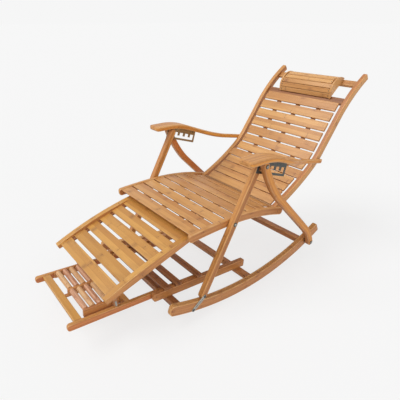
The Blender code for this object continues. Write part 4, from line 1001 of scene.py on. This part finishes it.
clipTop = propFoot.lerp((leftTop + rightTop) / 2, propSet["clipLength"] / (leftTop - propFoot).length)
clip = stadium(clipTop, propFoot, propSet["clipHalf"])
for tag, sign in sides:
    node = "leg_rest_prop_" + tag
    low, high = fromMiddle(node)
    clipFrom = high + propSet["clipGap"]
    shape = newShape()
    addPlate(shape, outline, low * sign, high * sign, propSet["bevel"])
    addPlate(shape, clip, clipFrom * sign, (clipFrom + propSet["clipThick"]) * sign, propSet["clipBevel"],
             1, metalSeed)
    rivet = profileOf(high + propSet["clipThick"], propSet["rivetRise"], propSet["rivetRadius"],
                      propSet["rivetShape"])
    for centre in (clipTop, propFoot):
        addTurned(shape, rivet, centre, propSet["rivetSides"], sign, 1, metalSeed)
    finishPiece(node + "_stay", shape, [russet, steel], node)
print("leg rest done")

# Seat: side rails, eight slats over the dip, battens below
seatSet = {"tip": (-0.287, 0.3155), "run": ((0.170, 4.0, 0.0), (0.280, 0.0, -17.0)), "depth": 0.031,
           "tail": 0.014, "tipRound": 0.010, "soft": 0.0042, "slatThick": 0.0055, "recess": 0.003,
           "slatSoft": 0.0016, "first": 0.00945, "count": 8, "pitch": 0.0545, "gap": 0.0073,
           "hingeTilt": 5.5, "steps": 44}
battenSet = {"width": 0.020, "thick": 0.010, "spacing": 0.112, "bite": 0.001, "soft": 0.0015, "steps": 30}
seatAt, seatLength = runPath(drawn(*seatSet["tip"]), seatSet["run"])
# the seat rails' sides are painted darker caramel than their honey top, as painted shade
boardPair("seat_rail", seatAt, 0.0, seatLength + seatSet["tail"], seatSet["depth"] / 2,
          (seatSet["tipRound"], "half"), seatSet["soft"], honey, seatSet["steps"], caramel)


def addSlat(shape, at, place, width, top, thick, half, soft, dipDeg=0.0):
    # a slat beside the back pivot dips towards it
    point, angle = at(place)
    angle += dipDeg
    lowered = width / 2 * math.sin(math.radians(abs(dipDeg)))
    middle = point + across(angle) * (top - lowered - thick / 2)
    addAcross(shape, spot3(0.0, middle), angle, (2 * half, width, thick), soft)


def addBattens(shape, at, first, last, top):
    # three battens that follow the slats from below
    halfThick = battenSet["thick"] / 2
    halfWidth = battenSet["width"] / 2

    def line(distance):
        return offPath(at, distance, top - halfThick), at(distance)[1]

    for shift in (-battenSet["spacing"], 0.0, battenSet["spacing"]):
        rings = []
        for place in even(first, last, battenSet["steps"]):
            rings.append(ringOn(line, place, -halfThick, halfThick, -halfWidth, halfWidth, battenSet["soft"],
                                1.0, shift))
        addRings(shape, rings, 1)


# the slats' sides and the battens below take dark russet: painted shade on the slat edges seen in the gaps
# and under the seat
shape = newShape(1)
seatHalf = max(faces("seat_slats"))
seatTop = seatSet["depth"] / 2 - seatSet["recess"]
hingeHalf = min(faces("back_rail_l")) - swingGap  # the last slat lies between the back rails
seatSlat = seatSet["pitch"] - seatSet["gap"]
for number in range(seatSet["count"]):
    place = seatSet["first"] + number * seatSet["pitch"] + seatSlat / 2
    atHinge = number == seatSet["count"] - 1
    half = hingeHalf if atHinge else seatHalf
    dip = -seatSet["hingeTilt"] if atHinge else 0.0
    addSlat(shape, seatAt, place, seatSlat, seatTop, seatSet["slatThick"], half, seatSet["slatSoft"], dip)
seatEnd = seatSet["first"] + seatSet["count"] * seatSet["pitch"] - seatSet["gap"]
addBattens(shape, seatAt, seatSet["first"] + seatSlat / 4, seatEnd - seatSlat / 4,
           seatTop - seatSet["slatThick"] + battenSet["bite"])
finishPiece("seat_slatwork", shape, [honey, russet], "seat_slats")
print("seat done")

# Back: side rails, slats, two crossbars
backSet = {"run": ((0.235, 23.0, 37.0), (0.090, 37.0, 53.0), (0.160, 53.5, 53.5), (0.239, 53.5, 31.0)),
           "depth": 0.027, "tipRound": 0.0055, "soft": 0.0036, "pivotBelow": 0.009, "slatThick": 0.009,
           "recess": 0.003, "slatSoft": 0.0020, "lowFirst": 0.0115, "lowCount": 4, "lowPitch": 0.0405,
           "lowGap": 0.0035, "hingeLap": 0.0030, "wideShift": 0.0010, "wideCount": 8, "widePitch": 0.0482,
           "wideGap": 0.0075, "endGap": 0.0132, "headBarAt": 0.5685, "topBarAt": 0.670, "barWidth": 0.030,
           "barThick": 0.015, "barSoft": 0.0026, "steps": 64}
backStart = backPivot + across(backSet["run"][0][1]) * (backSet["pivotBelow"] - backSet["depth"] / 2)
backAt, backLength = runPath(backStart, backSet["run"])
# painted light and shade: the far rail's sides are darker than its top, the near rail's top darker than its
# lighter honey sides
boardPair("back_rail", backAt, 0.0, backLength, backSet["depth"] / 2, ("half", backSet["tipRound"]),
          backSet["soft"], amber, backSet["steps"], caramel)
repaintLitAndShadedFaces("back_rail_l_board", (caramel, honey))
backHalf = max(faces("head_crossbar"))
backTop = backSet["depth"] / 2 - backSet["recess"]
barTop = backTop - backSet["slatThick"] + fitGap
# the head crossbar is painted dark russet as painted shade between the headrest and the slats
for node, place, finish in (("head_crossbar", backSet["headBarAt"], russet),
                            ("top_crossbar", backSet["topBarAt"], honey)):
    shape = newShape()
    addSlat(shape, backAt, place, backSet["barWidth"], barTop, backSet["barThick"], backHalf,
            backSet["barSoft"])
    finishPiece(node + "_bar", shape, [finish], node)
# the slats' sides are painted darker caramel than their tops, as painted shade in the gaps
shape = newShape(2)
place = backSet["lowFirst"]
shortHalf = backHalf - backSet["endGap"]
for number in range(backSet["lowCount"]):
    lap = 0.0 if number else backSet["hingeLap"]  # the lowest slat reaches down over the pivot rod
    width = backSet["lowPitch"] - backSet["lowGap"] + lap
    addSlat(shape, backAt, place - lap + width / 2, width, backTop, backSet["slatThick"], shortHalf,
            backSet["slatSoft"], 0.0 if number else seatSet["hingeTilt"])
    place += backSet["lowPitch"]
place += backSet["wideShift"]  # the wide slats stay where their solid has them
width = backSet["widePitch"] - backSet["wideGap"]
for number in range(backSet["wideCount"]):
    addSlat(shape, backAt, place + width / 2, width, backTop, backSet["slatThick"],
            shortHalf if number else backHalf, backSet["slatSoft"])
    place += backSet["widePitch"]
addBattens(shape, backAt, backSet["lowFirst"] + backSet["lowPitch"] / 4,
           backSet["headBarAt"] - backSet["barWidth"] / 2 - fitGap,
           backTop - backSet["slatThick"] + battenSet["bite"])
finishPiece("back_slatwork", shape, [honey, russet, caramel], "back_slats")
print("back done")

# Headrest: a barrel of narrow strips between two curved cheeks, pinned with small dark brads, over a dark
# sheet that paints the shade in the gaps
headSet = {"half": 0.143, "from": 0.568, "chord": 0.121, "rise": 0.040, "cheek": 0.008, "cheekSteps": 36,
           "chordSteps": 12, "cheekBevel": 0.0012, "proud": 0.0012, "shell": 0.006, "strips": 7,
           "stripGap": 0.0016, "stripSink": 0.0005, "soft": 0.0013, "slotWidth": 0.0055,
           "slotStrips": (3, 4), "bradRadius": 0.0022, "bradFromEnd": 0.0045, "bradSides": 12,
           "bradShape": ((-0.0006, 1.0), (0.0001, 1.0), (0.00035, 0.72), (0.00045, 0.2)),
           "shadeSheet": 0.0012, "shadeSheetShare": 0.93, "shadeSheetSteps": 24, "shadeSheetBevel": 0.0002}
chordFrom = offPath(backAt, headSet["from"], barTop)
chord = offPath(backAt, headSet["from"] + headSet["chord"], barTop) - chordFrom
chordWay = chord.normalized()
chordOut = Vector((-chordWay.y, chordWay.x))
halfChord = chord.length / 2
lift = 0.0  # clears the corners of both crossbars
for place in (backSet["headBarAt"], backSet["topBarAt"]):
    for edge in (-backSet["barWidth"] / 2, backSet["barWidth"] / 2):
        point, angle = backAt(place)
        corner = point + heading(angle) * edge + across(angle) * barTop
        lift = max(lift, (corner - chordFrom).dot(chordOut))
chordFrom = chordFrom + chordOut * (lift + fitGap)
barrel = (halfChord ** 2 + headSet["rise"] ** 2) / (2 * headSet["rise"])
barrelMiddle = chordFrom + chordWay * halfChord + chordOut * (headSet["rise"] - barrel)
spread = math.asin(halfChord / barrel)


def onBarrel(angle, radius):
    return barrelMiddle + (chordWay * math.sin(angle) + chordOut * math.cos(angle)) * radius


cheekRadius = barrel + headSet["proud"]
cheekInner = headSet["half"] - headSet["cheek"]
outline = [onBarrel(angle, cheekRadius) for angle in even(-spread, spread, headSet["cheekSteps"])]
outline += [outline[-1].lerp(outline[0], step / headSet["chordSteps"])
            for step in range(1, headSet["chordSteps"])]
for tag, sign in sides:
    node = "headrest_cheek_" + tag
    shape = newShape()
    addPlate(shape, outline, cheekInner * sign, headSet["half"] * sign, headSet["cheekBevel"])
    finishPiece(node + "_bow", shape, [honey], node)


def addBrad(shape, middle, sideways, outward):
    # flat round head that stands a little out of its strip
    rings = []
    for height, share in headSet["bradShape"]:
        ring = []
        for step in range(headSet["bradSides"]):
            spoke = heading(360.0 * step / headSet["bradSides"]) * (headSet["bradRadius"] * share)
            spot = middle + acrossX * spoke.x + sideways * spoke.y + outward * height
            ring.append((spot, (spoke.x, spoke.y, height), 0.0))
        rings.append(ring)
    addRings(shape, rings, 1, metalSeed)


shape = newShape()
stripHalf = cheekInner - fitGap
stripTurn = 2 * spread / headSet["strips"]
stripRadius = barrel - headSet["shell"] / 2 - headSet["stripSink"]
stripWidth = stripRadius * stripTurn - headSet["stripGap"]
for number in range(headSet["strips"]):
    angle = -spread + stripTurn * (number + 0.5)
    outWay = (onBarrel(angle, barrel) - barrelMiddle).normalized()
    outward = Vector((0.0, outWay.x, outWay.y))
    sideways = Vector((0.0, outWay.y, -outWay.x))
    reach = stripHalf
    if number in headSet["slotStrips"]:
        reach -= headSet["slotWidth"]
    addBar(shape, spot3(0.0, onBarrel(angle, stripRadius)), acrossX, sideways, outward,
           (2 * reach, stripWidth, headSet["shell"]), headSet["soft"])
    for tag, sign in sides:
        bradPoint = onBarrel(angle, stripRadius + headSet["shell"] / 2)
        addBrad(shape, spot3((reach - headSet["bradFromEnd"]) * sign, bradPoint), sideways, outward)
# a dark russet sheet under the strips: painted shade that darkens the gaps between them
shadeSheetTurn = spread * headSet["shadeSheetShare"]
shadeSheetRadius = barrel - headSet["shell"]
shadeSheetTurns = even(-shadeSheetTurn, shadeSheetTurn, headSet["shadeSheetSteps"])
shadeSheet = [onBarrel(angle, shadeSheetRadius) for angle in shadeSheetTurns]
shadeSheet += [onBarrel(angle, shadeSheetRadius - headSet["shadeSheet"]) for angle in shadeSheetTurns[::-1]]
addPlate(shape, shadeSheet, -stripHalf, stripHalf, headSet["shadeSheetBevel"], 2)
finishPiece("headrest_slatwork", shape, [honey, darkSteel, russet], "headrest_slats")
print("headrest done")

# Armrests: a broad front that narrows to the pin in the back rail
armSet = {"overhang": 0.087, "above": 0.0262, "thick": 0.018, "frontInner": 0.244, "frontWidth": 0.071,
          "rearWidth": 0.016, "taperFrom": 0.190, "tail": 0.105, "pinFromEnd": 0.018, "cornerRound": 0.014,
          "mostTuck": 0.35, "tipRound": 0.006, "soft": 0.0048, "steps": 110,
          "run": ((0.066, 0.0, 0.0), (0.100, 0.0, -20.0), (0.120, -21.0, -21.0), (0.100, -20.0, -13.0))}
armFront = apex + Vector((-armSet["overhang"], armSet["above"]))
bendAt, bendLength = runPath(armFront, armSet["run"])
toPin = armPin - bendAt(bendLength)[0]
pinAngle = angleOf(toPin)
pinRun = (toPin.length + armSet["pinFromEnd"], pinAngle, pinAngle)
armAt, armLength = runPath(armFront, armSet["run"] + (pinRun,))
armRearIn = max(faces("back_rail_l")) + swingGap


def armTuck(distance):
    # how far the rounded corners draw the edge in
    fromEnd = min(distance, armLength - distance)
    corner = armSet["cornerRound"]
    if fromEnd >= corner:
        return 0.0
    return corner - math.sqrt(max(0.0, corner ** 2 - (corner - max(0.0, fromEnd)) ** 2))


def armEdge(distance, frontEdge, rearEdge, way):
    share = (distance - armSet["taperFrom"]) / (armLength - armSet["tail"] - armSet["taperFrom"])
    share = min(1.0, max(0.0, share))
    share = share * share * (3 - 2 * share)
    width = armSet["frontWidth"] + (armSet["rearWidth"] - armSet["frontWidth"]) * share
    tuck = min(armTuck(distance), width * armSet["mostTuck"])
    return frontEdge + (rearEdge - frontEdge) * share + way * tuck


def armInner(distance):
    return armEdge(distance, armSet["frontInner"], armRearIn, 1.0)


def armOuter(distance):
    frontOuter = armSet["frontInner"] + armSet["frontWidth"]
    return armEdge(distance, frontOuter, armRearIn + armSet["rearWidth"], -1.0)


# the armrests' sides are painted toffee, a different tone from the amber top, as painted light and shade
for tag, sign in sides:
    node = "armrest_" + tag
    shape = newShape(1)
    addBoard(shape, armAt, 0.0, armLength, armSet["thick"] / 2, (armSet["tipRound"], armSet["tipRound"]),
             lambda distance: armInner(distance) * sign, lambda distance: armOuter(distance) * sign,
             armSet["soft"], armSet["steps"])
    finishPiece(node + "_board", shape, [amber, toffee], node)

# Steel that keeps its solid: notched plates, pivot rod and armrest pins
plateSet = {"edge": 0.0005, "segments": 2}
# the two notched plates are one steel: the near one painted dark as painted shade, the far one a brighter
# tan as a painted reflection
keptSteel = {"notched_plate_l": darkSteel, "notched_plate_r": plateReflectionSteel, "back_pivot_rod": brownSteel,
             "armrest_pin_l": darkSteel, "armrest_pin_r": darkSteel}
for node, finish in keptSteel.items():
    solid = frame["nodes"][node]
    solid.data.materials.clear()
    solid.data.materials.append(finish)
    if node.startswith("notched"):
        rounding = solid.modifiers.new("edgeRound", "BEVEL")
        rounding.width = plateSet["edge"]
        rounding.segments = plateSet["segments"]
        rounding.limit_method = "ANGLE"
print("armrests and steel done")

# Floor, world, lamps and camera
floorSet = {"size": 160.0, "below": 0.0002, "tint": (0.90, 0.90, 0.90), "patch": (0.7, 0.7, 0.7),
            "patchTone": 0.985, "rough": 0.9, "specular": 0.1, "backdrop": (0.921, 0.921, 0.921),
            "lift": 0.80, "glow": (0.929, 0.929, 0.929)}
lightSet = {"ambient": 0.43, "keyStrength": 1.75, "keyFrom": (-0.45, -0.75, 1.25), "keyAngle": 38.0,
            "fillStrength": 0.95, "fillFrom": (1.0, -0.25, 0.55), "fillAngle": 60.0, "distance": 3.0}
cameraSet = {"at": (1.1010, -0.9287, 0.9770), "downDeg": 25.6998, "turnDeg": 51.2067, "lens": 33.98,
             "sensor": 36.0}


def backdropShare(tree):
    # 1 for the rays that see the backdrop itself: from the camera, in a mirror and through glass
    rays = putNode(tree, "ShaderNodeLightPath").outputs
    seen = maths(tree, "MAXIMUM", rays["Is Camera Ray"], rays["Is Glossy Ray"])
    return maths(tree, "MAXIMUM", seen, rays["Is Transmission Ray"])


def blendOut(tree, share, first, second, outputName):
    blendNode = putNode(tree, "ShaderNodeMixShader")
    feed(tree, blendNode.inputs[0], share)
    tree.links.new(first.outputs[0], blendNode.inputs[1])
    tree.links.new(second.outputs[0], blendNode.inputs[2])
    tree.links.new(blendNode.outputs[0], tree.nodes[outputName].inputs["Surface"])


floorMesh = bpy.data.meshes.new("floor")
reach = floorSet["size"] / 2
corners = [(x * reach, y * reach, -floorSet["below"]) for x, y in ((-1, -1), (1, -1), (1, 1), (-1, 1))]
floorMesh.from_pydata(corners, [], [(0, 1, 2, 3)])
floor = bpy.data.objects.new("floor", floorMesh)
scene.collection.objects.link(floor)
floorMaterial, tree, shader = startMaterial("paleFloor")
soften = cloudy(tree, putNode(tree, "ShaderNodeTexCoord").outputs["Object"], floorSet["patch"])
darker = tuple(value * floorSet["patchTone"] for value in floorSet["tint"])
feed(tree, shader.inputs["Base Color"], mixed(tree, soften, (*floorSet["tint"], 1.0), (*darker, 1.0)))
shader.inputs["Roughness"].default_value = floorSet["rough"]
shader.inputs["Specular IOR Level"].default_value = floorSet["specular"]
glow = putNode(tree, "ShaderNodeEmission")
glow.inputs["Color"].default_value = (*floorSet["glow"], 1.0)
blendOut(tree, times(tree, backdropShare(tree), floorSet["lift"]), shader, glow, "Material Output")
floorMesh.materials.append(floorMaterial)

world = bpy.data.worlds.new("studio")
world.use_nodes = True
scene.world = world
tree = world.node_tree
room = tree.nodes["Background"]
room.inputs["Color"].default_value = (1.0, 1.0, 1.0, 1.0)
room.inputs["Strength"].default_value = lightSet["ambient"]
backdrop = putNode(tree, "ShaderNodeBackground")
backdrop.inputs["Color"].default_value = (*floorSet["backdrop"], 1.0)
backdrop.inputs["Strength"].default_value = 1.0
blendOut(tree, backdropShare(tree), room, backdrop, "World Output")

for name in ("key", "fill"):
    lamp = bpy.data.lights.new(name + "Lamp", "SUN")
    lamp.energy = lightSet[name + "Strength"]
    lamp.angle = math.radians(lightSet[name + "Angle"])
    holder = bpy.data.objects.new(name + "Lamp", lamp)
    holder.location = Vector(lightSet[name + "From"]) * lightSet["distance"]
    holder.rotation_euler = (-holder.location).to_track_quat("-Z", "Y").to_euler()
    scene.collection.objects.link(holder)

lensData = bpy.data.cameras.new("camera")
lensData.lens = cameraSet["lens"]
lensData.sensor_width = cameraSet["sensor"]
camera = bpy.data.objects.new("camera", lensData)
camera.location = Vector(cameraSet["at"]) + Vector((0.0, yShift, 0.0))
camera.rotation_euler = (math.radians(90.0 - cameraSet["downDeg"]), 0.0, math.radians(cameraSet["turnDeg"]))
scene.collection.objects.link(camera)
scene.camera = camera
scene.view_settings.view_transform = "Standard"
print("floor, light and camera done")
